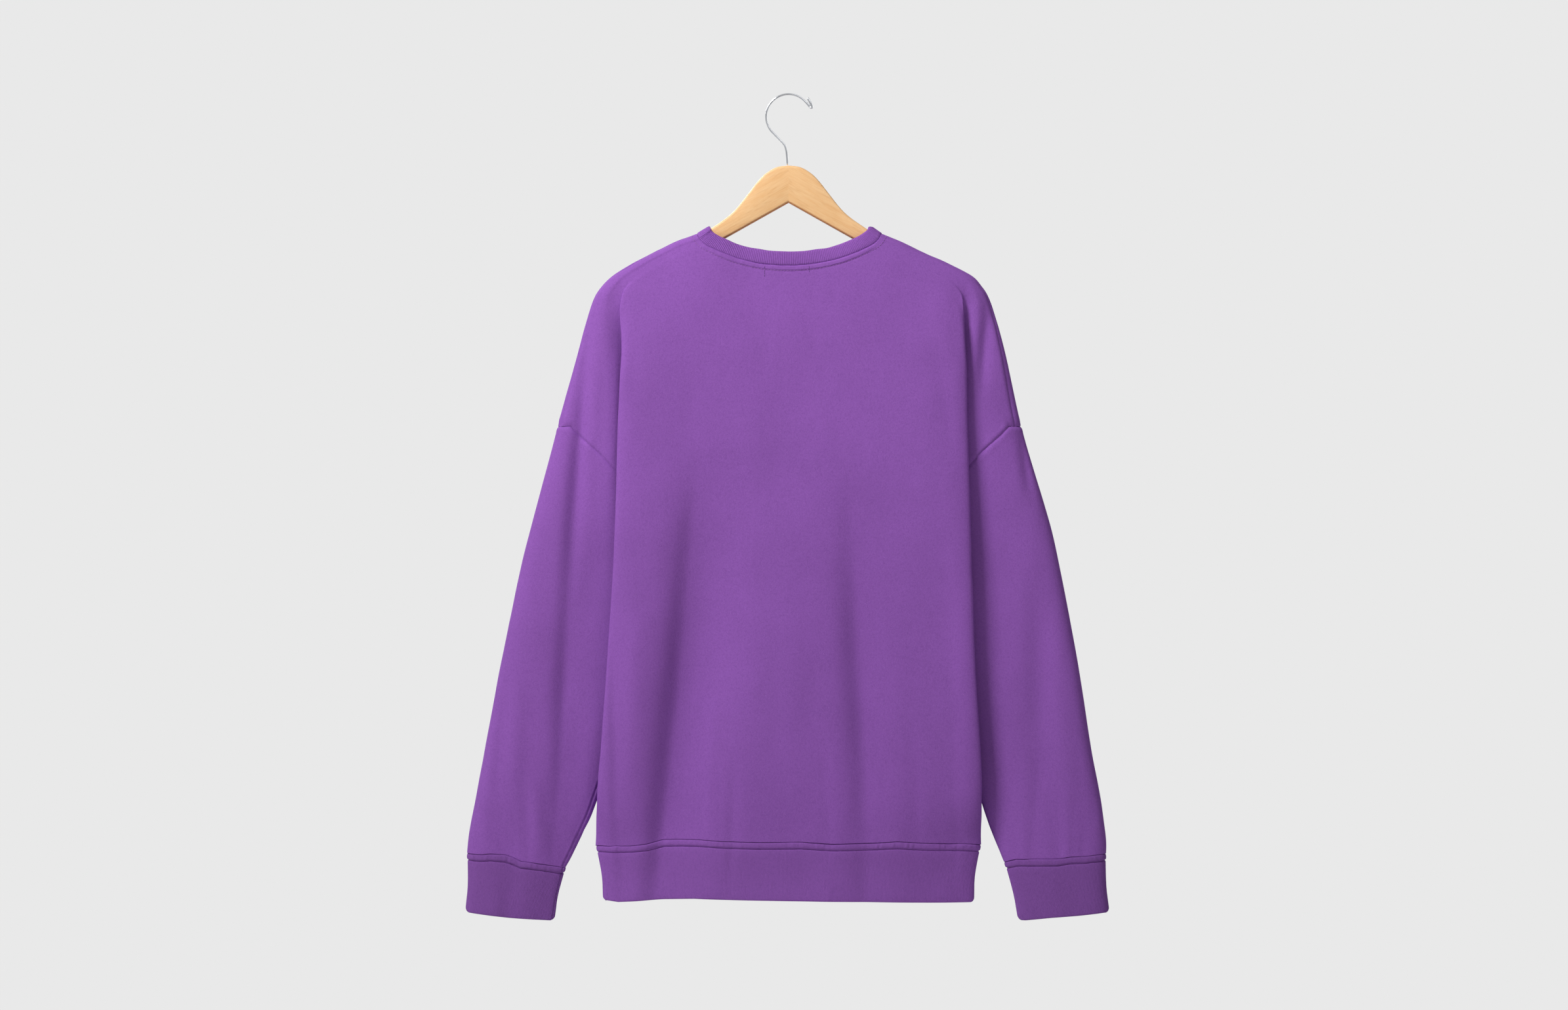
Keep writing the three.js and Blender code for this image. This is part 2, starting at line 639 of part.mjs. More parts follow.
// One arm, on the side given by sign
function armGeometry(sign) {
  const at = ([x, drop]) => new THREE.Vector2(sign * x, -drop);
  const hump = new THREE.SplineCurve(ARM_HUMP.map(at));
  const outline = new THREE.Shape(hump.getPoints(18));
  const tip = ARM_TIP.map(at);
  outline.lineTo(tip[0].x, tip[0].y);
  outline.bezierCurveTo(tip[1].x, tip[1].y, tip[2].x, tip[2].y, tip[3].x, tip[3].y);
  ARM_UNDERSIDE.map(at).forEach((point) => outline.lineTo(point.x, point.y));
  const geometry = new THREE.ExtrudeGeometry(outline, {
    depth: WOOD_THICKNESS - 2 * WOOD_ROUNDING,
    curveSegments: 8,
    bevelThickness: WOOD_ROUNDING,
    bevelSize: WOOD_ROUNDING,
    bevelOffset: -WOOD_ROUNDING,
    bevelSegments: 2,
  });
  geometry.translate(0, 0, WOOD_ROUNDING - WOOD_THICKNESS / 2);
  geometry.rotateX(Math.PI / 2);
  return geometry;
}

// The hook's wire: stem, diagonal, three quarters of a round and a tip folded back on itself
function hookGeometry() {
  const centreDrop = HOOK_RADIUS - WIRE_RADIUS;
  const arc = [];
  for (let degrees = 200; degrees >= 30; degrees -= 10) {
    const angle = THREE.MathUtils.degToRad(degrees);
    arc.push([HOOK_RADIUS * Math.cos(angle), 0, centreDrop - HOOK_RADIUS * Math.sin(angle)]);
  }
  const points = [
    [-1, 0, 75.1], [-1.6, 0, 68], [-2.8, 0, 60], [-5.6, 0, 53], [-10, 0, 46.6], [-17.5, 0, 37.5],
    ...arc,
    [22.3, -0.3, 15.2], [23.6, -1.2, 17.2], [24.6, -2.4, 15.6], [23, -3, 11], [19.6, -3, 3.4],
  ];
  const path = new THREE.CatmullRomCurve3(points.map(([x, y, drop]) => new THREE.Vector3(x, y, -drop)));
  const section = new THREE.Shape();
  section.absarc(0, 0, WIRE_RADIUS, 0, Math.PI * 2);
  return new THREE.ExtrudeGeometry(section, {
    steps: 46,
    curveSegments: 4,
    bevelEnabled: false,
    extrudePath: path,
  });
}

const group = new THREE.Group();

function addPiece(name, geometry, colour, roughness, metalness) {
  const material = new THREE.MeshStandardMaterial({ color: colour, roughness, metalness });
  const mesh = new THREE.Mesh(geometry, material);
  mesh.name = name;
  group.add(mesh);
}

const back = panelSheet('back');
const front = panelSheet('front');
addPiece('back_panel', back.sheet.wall(WALL), COLOURS.fleece, 0.95, 0);
addPiece('front_panel', front.sheet.wall(WALL), COLOURS.fleece, 0.95, 0);
addPiece('neckband', neckbandGeometry(closedLoop(back.neck, front.neck)), COLOURS.rib, 0.95, 0);
const hemSeam = closedLoop(back.hem, front.hem);
const hemBand = bandSheet(hemSeam, HEM_BAND_HEIGHT, HEM_BAND_TAPER, 0, BAND_ROWS, true);
addPiece('hem_band', hemBand.wall(WALL), COLOURS.rib, 0.95, 0);
['left', 'right'].forEach((side) => {
  const sleeve = sleeveSheet(side);
  addPiece(`sleeve_${side}`, sleeve.sheet.wall(WALL), COLOURS.fleece, 0.95, 0);
  const flip = side === 'right';
  const cuff = bandSheet(sleeve.cuff, CUFF_HEIGHT, CUFF_TAPER, CUFF_SHIFT[side], BAND_ROWS, flip);
  addPiece(`cuff_${side}`, cuff.wall(WALL), COLOURS.rib, 0.95, 0);
});
const leftArm = armGeometry(-1);
leftArm.translate(-MITRE_GAP / 2, 0, 0);
addPiece('hanger_arm_left', leftArm, COLOURS.wood, 0.5, 0);
const rightArm = armGeometry(1);
rightArm.translate(MITRE_GAP / 2, 0, 0);
addPiece('hanger_arm_right', rightArm, COLOURS.wood, 0.5, 0);
addPiece('hanger_hook', hookGeometry(), COLOURS.chrome, 0.2, 1);

export default group;
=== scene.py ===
import bpy
import math
import numpy as np
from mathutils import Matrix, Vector


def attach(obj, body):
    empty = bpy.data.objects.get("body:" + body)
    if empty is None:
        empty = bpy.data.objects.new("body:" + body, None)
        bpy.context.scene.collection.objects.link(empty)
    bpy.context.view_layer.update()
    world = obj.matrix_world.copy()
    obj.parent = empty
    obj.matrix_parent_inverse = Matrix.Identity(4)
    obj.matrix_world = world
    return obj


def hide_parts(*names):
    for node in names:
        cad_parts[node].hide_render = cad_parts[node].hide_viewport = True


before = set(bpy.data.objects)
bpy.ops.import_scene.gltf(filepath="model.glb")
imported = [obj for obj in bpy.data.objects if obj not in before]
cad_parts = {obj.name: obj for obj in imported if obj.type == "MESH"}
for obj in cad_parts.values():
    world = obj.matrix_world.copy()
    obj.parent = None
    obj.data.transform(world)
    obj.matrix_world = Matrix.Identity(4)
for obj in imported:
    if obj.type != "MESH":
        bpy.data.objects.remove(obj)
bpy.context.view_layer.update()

# A crewneck sweatshirt on a wooden hanger, seen from its back. Shapes are worked out in millimetres
# and stored in metres. A drop is a height counted down from the inside top of the hook: z = -drop.
MM = 0.001
SIDES = ("left", "right")
SIGN = {"left": -1, "right": 1}
LAYER = {"front": 1, "back": -1}

# Places along a horizontal section of the cloth: 0 at the centre, 1 at a quarter, 2 at the body's
# folded edge, 3 in the valley beside it, 4 at the sleeve's middle and 5 at the outer ridge. Past the
# ridge they go on over the other layer, up to 10 at its centre. From CAP_END to the ridge the armhole
# seam runs level.
VALLEY = 3
CAP_END = 4.6
RIDGE = 5

# Cloth: its wall, how far its outside lies from the middle surface, how deep the front is beside the
# back, how the folds beside the sleeves start and turn, and where its seams lie
CLOTH = 1.9
OUTSIDE = 1.0
FRONT_DEPTH = 0.88
FOLD_STARTS_LATER = 26
FOLD_TURN = -26
VALLEY_TURN = -38
CLOSED_TURN = -18
INNER_EDGE_TURN = 15
NECK_POINT_DROP = 146.5
NECK_DROP = {"back": 183.6, "front": 229}
ARMHOLE_TOP_DROP = 355.6
UNDERARM_DROP = 505
HEM_SEAM_DROP = 799.4
HEM_SIDE_FALL = 6
SHOULDER_SEAM = {"left": 4.84, "right": 4.74}
UNDERARM_SEAM = {"left": 3.2, "right": 6.8}
NECK_HALF_WIDTH = 96
NECK_CORNER_FALL = 3.4
FOLD_START_X = 180

# Bands: their height, the pitch and rise of their ribs, how far they draw in, and their round corners
NECKBAND = dict(height=15.2, wall=3, pitch=2, rise=0.36, lean_centre=8, lean_side=62, points_per_rib=8)
HEM = dict(height=57, width=0.965, depth=0.84, pitch=1.4, rise=0.12, corner=3, points_per_rib=6)
CUFF = dict(HEM, width=0.9, depth=0.94, corner=3.5)
CUFF_SHIFT = {"left": -7, "right": 9}

# The strip over a band's seam, how far the front sides of hem and neckband hang lower, and stitches
COVER = 6.6
FRONT_HEM_FALL = 2.5
NECKBAND_FRONT_FALL = 2.8
NECK_STITCHES = dict(pitch=3.5, length=2.2, radius=0.24)
NECK_STITCH_LINE = 5.9
LABEL_STITCHES = dict(pitch=2.4, length=2.1, radius=0.2)

# Seeds of what is uneven in the cloth
CUFF_SEED = {"left": 5, "right": 9}
SLEEVE_SEED = {"left": 3, "right": 17}
SLEEVE_WEAR_SEED = {"left": 21, "right": 33}
PANEL_SEED = {"back": 1, "front": 9}

# Hanger
WIRE_RADIUS = 1.1
HOOK_RADIUS = 24.1
ARM_HUMP = [(0, 75.6), (13, 77.6), (25, 84.7), (34, 94), (42, 104.3), (56.5, 122.5), (68, 132.8),
            (84, 143.8)]
ARM_TIP = [(184, 197.6), (196, 205), (194, 222), (180, 216)]
ARM_UNDERSIDE = [(0, 115.5), (72, 156), (180, 216)]
ARM_HALF_THICKNESS = 6
ARM_ROUNDING = 3
ARM_SLOPE = 29

# The section's edges and depths at each drop, in mm from the centre line and from the middle plane,
# and how far the body's edge is folded, from 0 to 1
EDGE_COLUMNS = ("outer", "fold", "valley", "inner")
EDGE_ROWS = {
    "left": [
        (146.5, 98, 60, 74, 74), (166.6, 138.6, 98, 114, 114), (180.6, 164.5, 124, 141, 141),
        (194.6, 187.6, 146, 163, 163), (205, 198.5, 160, 174, 174), (215.6, 205.8, 169, 179, 179),
        (236.6, 213.5, 175, 177, 177), (278.6, 225.4, 178, 166, 166), (355.6, 246.4, 181, 143, 143),
        (460, 274.3, 184, 113, 113), (505, 285.8, 186, 104, 108), (600, 305.8, 192, 126, 143),
        (700, 324, 199.5, 166, 185), (740, 331.8, 203, 184, 201), (770, 337.5, 202.5, 196, 212),
        (800, 342.2, 196, 202, 226), (830, 344.5, 196, 202, 241),
    ],
    "right": [
        (146.5, 100, 61, 75, 75), (166.6, 137.2, 98, 114, 114), (180.6, 168, 126, 143, 143),
        (194.6, 196, 150, 168, 168), (205, 206, 166, 180, 180), (215.6, 212.8, 177, 186, 186),
        (236.6, 220.5, 185, 184, 184), (278.6, 231.7, 188.5, 170, 170), (355.6, 248.4, 190, 146, 146),
        (460, 279.3, 193, 116, 116), (505, 289.6, 194, 106, 110.5), (600, 307.2, 197.5, 129, 146),
        (700, 323.6, 203.5, 170, 187), (740, 331, 205, 187, 202), (770, 335.6, 203.5, 197, 212),
        (800, 339.2, 196, 201.5, 223), (830, 338, 196, 201.5, 236),
    ],
}
DEPTH_COLUMNS = ("centre", "quarter", "fold", "valley", "sleeve", "edge", "folded")
DEPTH_ROWS = [
    (146.5, 12, 12, 11, 10, 9, 3, 0), (184, 17, 16, 13, 11, 9.5, 3, 0), (205, 19, 18, 14, 11.5, 10, 3.5, 0),
    (236.6, 22, 21, 17, 12, 11, 5, 0.55), (278.6, 25, 25, 20, 11, 12.5, 6, 1),
    (355.6, 29, 30, 23, 8.5, 13.5, 9, 1), (460, 33, 34, 27.5, 4.5, 13, 11, 1),
    (505, 34, 35, 28.5, 1.7, 12.5, 11, 1), (520, 34, 35, 28.5, 0, 12.5, 11, 1),
    (600, 35, 36, 28.5, 0, 13, 11, 1), (700, 36, 37, 27, 0, 13.5, 11, 1), (750, 35, 36, 22, 0, 13, 10, 0.9),
    (800, 33, 33, 15, 0, 11.5, 8, 0), (830, 33, 33, 15, 0, 10.5, 7, 0),
]

# Folds of each layer: x and drop of both ends, how far the middle bows to the right, the width on the
# left and on the right of the line, and how deep it goes (a ridge where that is negative)
BODY_FOLDS = {
    "back": [
        (-82, 380, -113, 880, 0, 36, 52, 10), (-50, 410, -66, 840, 0, 26, 30, -1),
        (66, 380, 93, 880, 0, 16, 84, 6.5), (110, 450, 124, 820, 0, 24, 24, -0.6),
        (-162, 520, -170, 820, 0, 18, 18, -4),
    ],
    "front": [
        (-50, 360, -74, 840, 0, 22, 22, 8), (-100, 420, -122, 820, 0, 22, 22, -4),
        (84, 400, 116, 840, 0, 22, 22, 7), (38, 440, 52, 820, 0, 22, 22, -4),
        (150, 500, 160, 820, 0, 18, 18, -3),
    ],
}
SLEEVE_FOLDS = {
    "back": [
        (-212, 220, -236, 560, 0, 8, 8, 4.5), (-203, 215, -220, 430, 0, 5, 14, -1.6),
        (-192, 235, -206, 430, 0, 7, 8, 0.4), (-184, 225, -190, 500, 0, 18, 12, -4.5),
        (-230, 480, -246, 790, 0, 11, 50, 2), (213, 210, 206, 330, 0, 7, 7, 4),
        (249, 330, 262, 450, 0, 7, 7, 3), (262, 470, 276, 790, 0, 14, 14, 3),
    ],
    "front": [
        (-222, 240, -236, 560, 0, 11, 11, 5), (-262, 500, -284, 780, 0, 13, 13, 3),
        (218, 235, 232, 560, 0, 11, 11, 5), (252, 480, 270, 790, 0, 13, 13, 3),
    ],
}
# Finer creases of the same kind
FINE_FOLDS = {
    "back": [
        (-92, 380, -163, 1100, 0, 16, 50, 10.5), (-150, 470, -166, 930, 0, 16, 30, 1.8),
        (-188, 520, -179, 880, 0, 7, 20, 3.2), (62, 420, 93, 1000, 0, 17, 56, 3.6),
        (-134, 700, -160, 1010, 0, 26, 34, 3.0), (96, 520, 108, 900, 0, 26, 30, -1.2),
        (160, 420, 176, 880, 4, 34, 14, 2.6), (-60, 700, -64, 860, 2, 5, 7, 1.3),
        (-78, 640, -86, 830, -2, 6, 9, -0.9), (-20, 560, -14, 800, 4, 14, 10, 0.6),
        (8, 480, 12, 780, -3, 16, 12, -0.6), (36, 690, 42, 830, 2, 7, 5, 0.6),
        (128, 640, 136, 830, 3, 10, 7, 0.8), (-172, 225, -179, 330, 2, 6, 7, -1.0),
        (150, 235, 172, 400, 4, 12, 9, 1.0),
    ],
    "front": [
        (-64, 340, -92, 960, 0, 9, 24, 3.6), (92, 380, 124, 940, 0, 22, 9, 3.2),
        (-30, 600, -34, 860, 3, 8, 6, 1.2), (12, 560, 20, 800, 3, 12, 9, 0.9),
        (150, 560, 146, 860, 3, 12, 16, 1.5), (-150, 540, -164, 880, -4, 12, 14, 1.8),
        (60, 650, 66, 830, 2, 7, 6, -0.8), (0, 300, -12, 560, 4, 18, 14, 1.0),
        (-120, 330, -96, 520, 5, 12, 14, 1.2), (120, 330, 104, 520, -5, 14, 12, 1.2),
    ],
}
# Finer creases of the shoulders' caps and the sleeves
SLEEVE_CREASES = {
    "back": [
        (-224, 330, -250, 860, 0, 10, 60, 4), (-300, 560, -314, 800, 0, 7, 8, 1.6),
        (-287, 600, -296, 800, 0, 8, 8, -1.0), (-344, 742, -286, 828, 0, 9, 9, 2.6),
        (-276, 730, -262, 815, 0, 7, 9, -1.2), (249, 330, 256, 430, 0, 5, 6, 1.4),
        (226, 240, 232, 330, 0, 8, 8, -1.5), (300, 640, 318, 812, 0, 10, 10, 1.0),
        (268, 700, 262, 815, 0, 8, 8, 0.9),
    ],
    "front": [
        (-205, 250, -214, 820, 0, 12, 14, -4), (-300, 600, -318, 820, 0, 8, 9, 1.6),
        (206, 250, 214, 820, 0, 14, 12, -4), (300, 600, 316, 815, 0, 9, 8, 1.5),
        (-340, 745, -292, 825, 0, 8, 8, 1.6), (330, 745, 290, 822, 0, 8, 8, 1.6),
    ],
}
# The cuffs' seams, and the bottom edges of the cuffs and the hem, across the back as x and drop
CUFF_SEAM_LINE = {
    "left": [(-343, 812.7), (-330, 813.4), (-320, 812.4), (-304.5, 813.6), (-294.7, 816.9), (-285, 821),
             (-271.6, 822.4), (-256, 824.6), (-240, 827.4)],
    "right": [(230, 822), (233, 821.1), (243, 818.6), (287, 818.3), (301, 815.8), (316.4, 815.4), (338, 813)],
}
CUFF_EDGE_LINE = {
    "left": [(-346, 875.6), (-300, 881.4), (-253, 885)],
    "right": [(254, 884.6), (282, 881.4), (310, 879.2), (338, 876.2)],
}
HEM_SEAM_LINE = [(-203, 806.3), (-191, 807), (-168, 806), (-151, 803.6), (-134, 799), (-117, 798),
                 (-97, 797.6), (-69, 798.6), (-33, 798.7), (13, 798), (46, 800.6), (91, 800.6),
                 (116, 799.6), (144, 802.2), (174, 803.6), (200, 805)]
HEM_EDGE_LINE = [(-196, 862.2), (-182, 864), (-164, 863), (-134, 860.8), (-101, 859.8), (-54, 860.8),
                 (-3, 861.7), (91, 863), (150, 864), (191, 864.5)]


def hermite(p0, m0, p1, m1, s):
    s2, s3 = s * s, s * s * s
    return p0 * (2 * s3 - 3 * s2 + 1) + m0 * (s3 - 2 * s2 + s) + p1 * (3 * s2 - 2 * s3) + m1 * (s3 - s2)


def smooth_table(columns, rows):
    """Rows joined by smooth curves: at(drop) gives every named column there."""
    rows = np.array(rows, float)
    before, after = np.vstack([rows[:1], rows[:-1]]), np.vstack([rows[1:], rows[-1:]])
    slopes = (after - before) / (after[:, :1] - before[:, :1])

    def at(drop):
        i = np.clip(np.searchsorted(rows[:, 0], drop, side="right") - 1, 0, len(rows) - 2)
        span = rows[i + 1, 0] - rows[i, 0]
        s = np.clip((drop - rows[i, 0]) / span, 0, 1)
        return {
            name: hermite(rows[i, c], slopes[i, c] * span, rows[i + 1, c], slopes[i + 1, c] * span, s)
            for c, name in enumerate(columns, 1)
        }
    return at


def smooth(value, low, high):
    s = np.clip((value - low) / (high - low), 0, 1)
    return s * s * (3 - 2 * s)


def mix(a, b, s):
    return a + (b - a) * s


def bell(distance, width):
    return np.exp(-(distance / width) ** 2)


def unit(v):
    return v / np.maximum(np.linalg.norm(v, axis=-1, keepdims=True), 1e-9)


def run_along(line):
    """The length of a line up to each of its points."""
    return np.concatenate([[0], np.cumsum(np.linalg.norm(np.diff(line, axis=0), axis=1))])


def before_ridge(t):
    return np.where(t > RIDGE, 2 * RIDGE - t, t)


edges = {side: smooth_table(EDGE_COLUMNS, rows) for side, rows in EDGE_ROWS.items()}
depths = smooth_table(DEPTH_COLUMNS, DEPTH_ROWS)
LATTICE = np.random.RandomState(11).rand(256, 256)


def noise(u, v):
    """Smooth random values from -1 to 1, one bump for each unit of u and v."""
    i, j = np.floor(u).astype(int), np.floor(v).astype(int)
    s, t = u - i, v - j
    s, t = s * s * (3 - 2 * s), t * t * (3 - 2 * t)
    corner = lambda a, b: LATTICE[(i + a) % 256, (j + b) % 256]
    return mix(mix(corner(0, 0), corner(1, 0), s), mix(corner(0, 1), corner(1, 1), s), t) * 2 - 1


def fold_depth(folds, layer, x, drop, sharpness=1.5):
    """How far the folds of a list press the cloth in at x and drop."""
    total = np.zeros(np.broadcast(x, drop).shape)
    rows = [(LAYER[name], *fold) for name in folds for fold in folds[name]]
    for number, x0, drop0, x1, drop1, bow, left, right, depth in rows:
        along = (drop - drop0) / (drop1 - drop0)
        inside = (layer == number) & (along > 0) & (along < 1)
        swell = np.sin(np.pi * np.clip(along, 0, 1))
        across = x - mix(x0, x1, along) - bow * swell
        across = across / np.where(across < 0, left, right)
        total = total + np.where(inside, depth * swell ** sharpness * np.exp(-across * across), 0)
    return total


def section_knots(side, layer, drop):
    """Six knots of a horizontal section as [x, y, tangent x, tangent y], for the right of the front."""
    edge, depth = edges[side](drop), dict(depths(drop))
    if side == "left":
        later = FOLD_STARTS_LATER * (1 - smooth(drop, 290, 350))
        depth["folded"] = depths(drop - later)["folded"]
    flatten = np.where(layer > 0, FRONT_DEPTH, 1)
    quarter_x, middle_x = edge["fold"] * 0.55, (edge["valley"] + edge["outer"]) / 2
    free, is_open = 1 - depth["folded"], drop <= UNDERARM_DROP
    valley_y = np.maximum(depth["valley"], 0)
    valley_turn = VALLEY_TURN * np.minimum(valley_y / 9 + smooth(drop, UNDERARM_DROP, 540), 1)
    fold_y = depth["fold"] * flatten
    run = (edge["outer"] - edge["valley"]) / 2
    zero = np.zeros_like(drop)
    knots = [
        (zero, depth["centre"] * flatten, quarter_x * 1.1, zero),
        (quarter_x, depth["quarter"] * flatten, edge["fold"] / 2,
         (fold_y - depth["centre"] * flatten) * 0.25),
        (edge["fold"], fold_y, free * (edge["valley"] - quarter_x) / 2,
         FOLD_TURN * depth["folded"] + free * (valley_y - depth["quarter"] * flatten) / 2),
        (edge["valley"], valley_y, np.where(is_open, free * (middle_x - edge["fold"]) / 2, 0),
         np.where(is_open, depth["folded"] * valley_turn + free * (depth["sleeve"] - fold_y) / 2,
                  mix(valley_turn, CLOSED_TURN, free))),
        (middle_x, depth["sleeve"], run, zero),
        (edge["outer"], zero, zero, -np.sqrt(depth["edge"] * 4 * run)),
    ]
    return np.array([[np.broadcast_to(value, drop.shape) for value in knot] for knot in knots])


def along_knots(knots, t):
    """x and y at the places t, counted from the first of the knots."""
    i = np.clip(np.floor(t).astype(int), 0, len(knots) - 2)
    n = np.arange(len(t))
    a, b = knots[i, :, n], knots[i + 1, :, n]
    return [hermite(a[:, k], a[:, k + 2], b[:, k], b[:, k + 2], t - i) for k in (0, 1)]


def surface(kind, side, layer_name, t, drop):
    """Points of the body ('body') or of a sleeve ('sleeve') by their place along the section and drop."""
    t, drop = np.broadcast_arrays(np.asarray(t, float), np.asarray(drop, float))
    shape, t, drop = t.shape, t.ravel(), drop.ravel()
    layer = np.where(t > RIDGE, -LAYER[layer_name], LAYER[layer_name])
    t, sign = before_ridge(t), SIGN[side]
    knots = section_knots(side, layer, drop)
    sleeve_fade = smooth(t, 3.2, 3.8) * (1 - smooth(t, 4.6, 4.95))
    if kind == "body":
        x, y = along_knots(knots, t)
        body_fade = 1 - smooth(t, 1.5, 1.95)
        y = y - body_fade * fold_depth(BODY_FOLDS, layer, sign * x, drop)
    else:
        knots, edge = knots[VALLEY:].copy(), edges[side](drop)
        closed = smooth(drop, UNDERARM_DROP - 10, UNDERARM_DROP + 30)
        knots[0, 0] = edge["inner"]
        knots[0, 3] = mix(knots[0, 3], INNER_EDGE_TURN, closed)
        knots[1, 0] = (edge["inner"] + edge["outer"]) / 2
        x, y = along_knots(knots, t - VALLEY)
    creases = fold_depth(SLEEVE_FOLDS, layer, sign * x, drop)
    creases = creases + fold_depth(SLEEVE_CREASES, layer, sign * x, drop, 0.8)
    y = y - sleeve_fade * creases
    return np.stack([sign * x, layer * y, -drop], axis=-1).reshape(*shape, 3)


def surface_and_normals(kind, side, layer, t, drop):
    across = surface(kind, side, layer, t + 0.01, drop) - surface(kind, side, layer, t - 0.01, drop)
    down = surface(kind, side, layer, t, drop + 0.5) - surface(kind, side, layer, t, drop - 0.5)
    normals = unit(np.cross(across, down) * (SIGN[side] * LAYER[layer]))
    return surface(kind, side, layer, t, drop), normals


# Grids: places across and down a panel, and how many steps lie between them

BODY_COLUMNS = [0, 0.3, 0.6, 0.9, 1.2, 1.48, 1.72, 1.88, 2, 2.14, 2.45, 2.8, 3]
BODY_STEPS = [10, 10, 10, 10, 9, 8, 6, 6, 8, 8, 6, 4]
CAP_COLUMNS = [3, 3.1, 3.25, 3.45, 3.7, 3.95, 4.2, 4.42, 4.6]
CAP_STEPS = [2, 3, 4, 5, 5, 5, 4, 4]
SHOULDER_ROWS = np.array([NECK_POINT_DROP, 160, 176, 194, 216, 252, 300, ARMHOLE_TOP_DROP])
CENTRE_ROWS = {"armhole": 362, "underarm": 495}
VALLEY_ROWS = {"cap_end": 350, "past_ridge": 345}
ROW_STEPS = {"back": (9, 6, 10), "front": (9, 5, 8)}
NEAR_NECK = np.array([0, 0.5, 1, 1.7, 2.6, 3.6, 4.5, 5.1, 5.7, 6.3, 7.2, 8.6])
AWAY_FROM_NECK = 10.4


def between(count_list):
    """Fractional places through a list, with so many steps in each of its gaps."""
    places = [k + np.arange(n) / n for k, n in enumerate(count_list)]
    return np.append(np.concatenate(places), len(count_list))


def closer_at_end(places, length_mm):
    """Adds close places before the last one, so that the crease of a seam shows."""
    last = places[-1]
    near = last - np.array([2.4, 1.2, 0.5]) / length_mm
    return np.unique(np.concatenate([places[places < near[0] - 0.6 / length_mm], near, [last]]))


def cap_columns(side, layer):
    seam = SHOULDER_SEAM[side]
    return [*CAP_COLUMNS, seam] if layer == "back" else [*CAP_COLUMNS, seam, RIDGE, 2 * RIDGE - seam]


def armhole_drop(t):
    s = (CAP_END - np.minimum(before_ridge(t), CAP_END)) / (CAP_END - VALLEY)
    return mix(ARMHOLE_TOP_DROP, UNDERARM_DROP, 0.62 * s + 0.38 * s ** 3)


def place_of_x(side, layer, x, drop):
    """The place along the section where the body is so wide, found by halving."""
    low, high = np.zeros_like(x), np.full_like(x, RIDGE)
    for _ in range(40):
        middle = (low + high) / 2
        short = np.abs(surface("body", side, layer, middle, drop)[..., 0]) < x
        low, high = np.where(short, middle, low), np.where(short, high, middle)
    return (low + high) / 2


def neck_seam(side, layer, columns):
    """The neck seam's [t, drop] at fractional columns, from the centre out."""
    names = BODY_COLUMNS + cap_columns(side, layer)[1:]
    ridge = len(names) - (1 if layer == "back" else 3)
    end = names[ridge]
    reach = abs(surface("body", side, layer, np.array([end]), np.array([NECK_POINT_DROP]))[0, 0])
    angle = np.pi / 2 * np.minimum(columns / ridge, 1)
    drop = mix(NECK_POINT_DROP, NECK_DROP[layer], np.cos(angle) ** (1.25 if layer == "back" else 1.1))
    t = place_of_x(side, layer, reach * np.sin(angle), drop)
    past = columns >= ridge
    t = np.where(past, np.interp(columns, range(len(names)), names), t)
    return t, np.where(past, NECK_POINT_DROP, drop)


def panel_rows(side, layer):
    """Rows of a panel as columns centre, valley, end and cap_end, one for each fractional row."""
    cap, last, reach = cap_columns(side, layer), len(SHOULDER_ROWS) - 1, CAP_END - VALLEY
    j = np.arange(last + 1)
    centre = mix(NECK_DROP[layer], CENTRE_ROWS["armhole"], (j / last) ** 1.1)
    valley = mix(SHOULDER_ROWS, centre, 0.5) - 14 * smooth(j, 3, last)
    rows = np.stack([centre, valley, SHOULDER_ROWS, np.full(last + 1, cap[-1])], axis=1)
    ends = np.array(cap[:-1][::-1])
    part = np.arange(1, len(ends) + 1) / len(ends)
    across_ridge = mix(VALLEY_ROWS["cap_end"], VALLEY_ROWS["past_ridge"], (ends - CAP_END) / 0.6)
    to_underarm = 1 - (np.clip(CAP_END - ends, 0, reach) / reach) ** 0.8
    valley = np.where(ends > CAP_END, across_ridge, mix(UNDERARM_DROP, VALLEY_ROWS["cap_end"], to_underarm))
    centre = mix(CENTRE_ROWS["armhole"], CENTRE_ROWS["underarm"], part)
    armhole = np.stack([centre, valley, armhole_drop(ends), ends], axis=1)
    part = np.arange(1, last + 1) / last
    low = mix(UNDERARM_DROP, HEM_SEAM_DROP + HEM_SIDE_FALL, part)
    centre = mix(CENTRE_ROWS["underarm"], HEM_SEAM_DROP, part)
    body = np.stack([centre, low, low, np.full(last, VALLEY)], axis=1)
    table, steps = np.vstack([rows, armhole, body]), ROW_STEPS[layer]
    places = closer_at_end(between([steps[0]] * last + [steps[1]] * len(ends) + [steps[2]] * last), 44)
    row_height = (CENTRE_ROWS["armhole"] - NECK_DROP[layer]) / last
    places = np.concatenate([NEAR_NECK / row_height, places[places > AWAY_FROM_NECK / row_height]])
    fine = np.stack([np.interp(places, range(len(table)), table[:, c]) for c in range(4)], axis=1)
    underarm = last + len(ends)
    on_armhole = (places > last) & (places < underarm)
    fine[on_armhole, 2] = armhole_drop(fine[on_armhole, 3])
    return places, fine, on_armhole, underarm


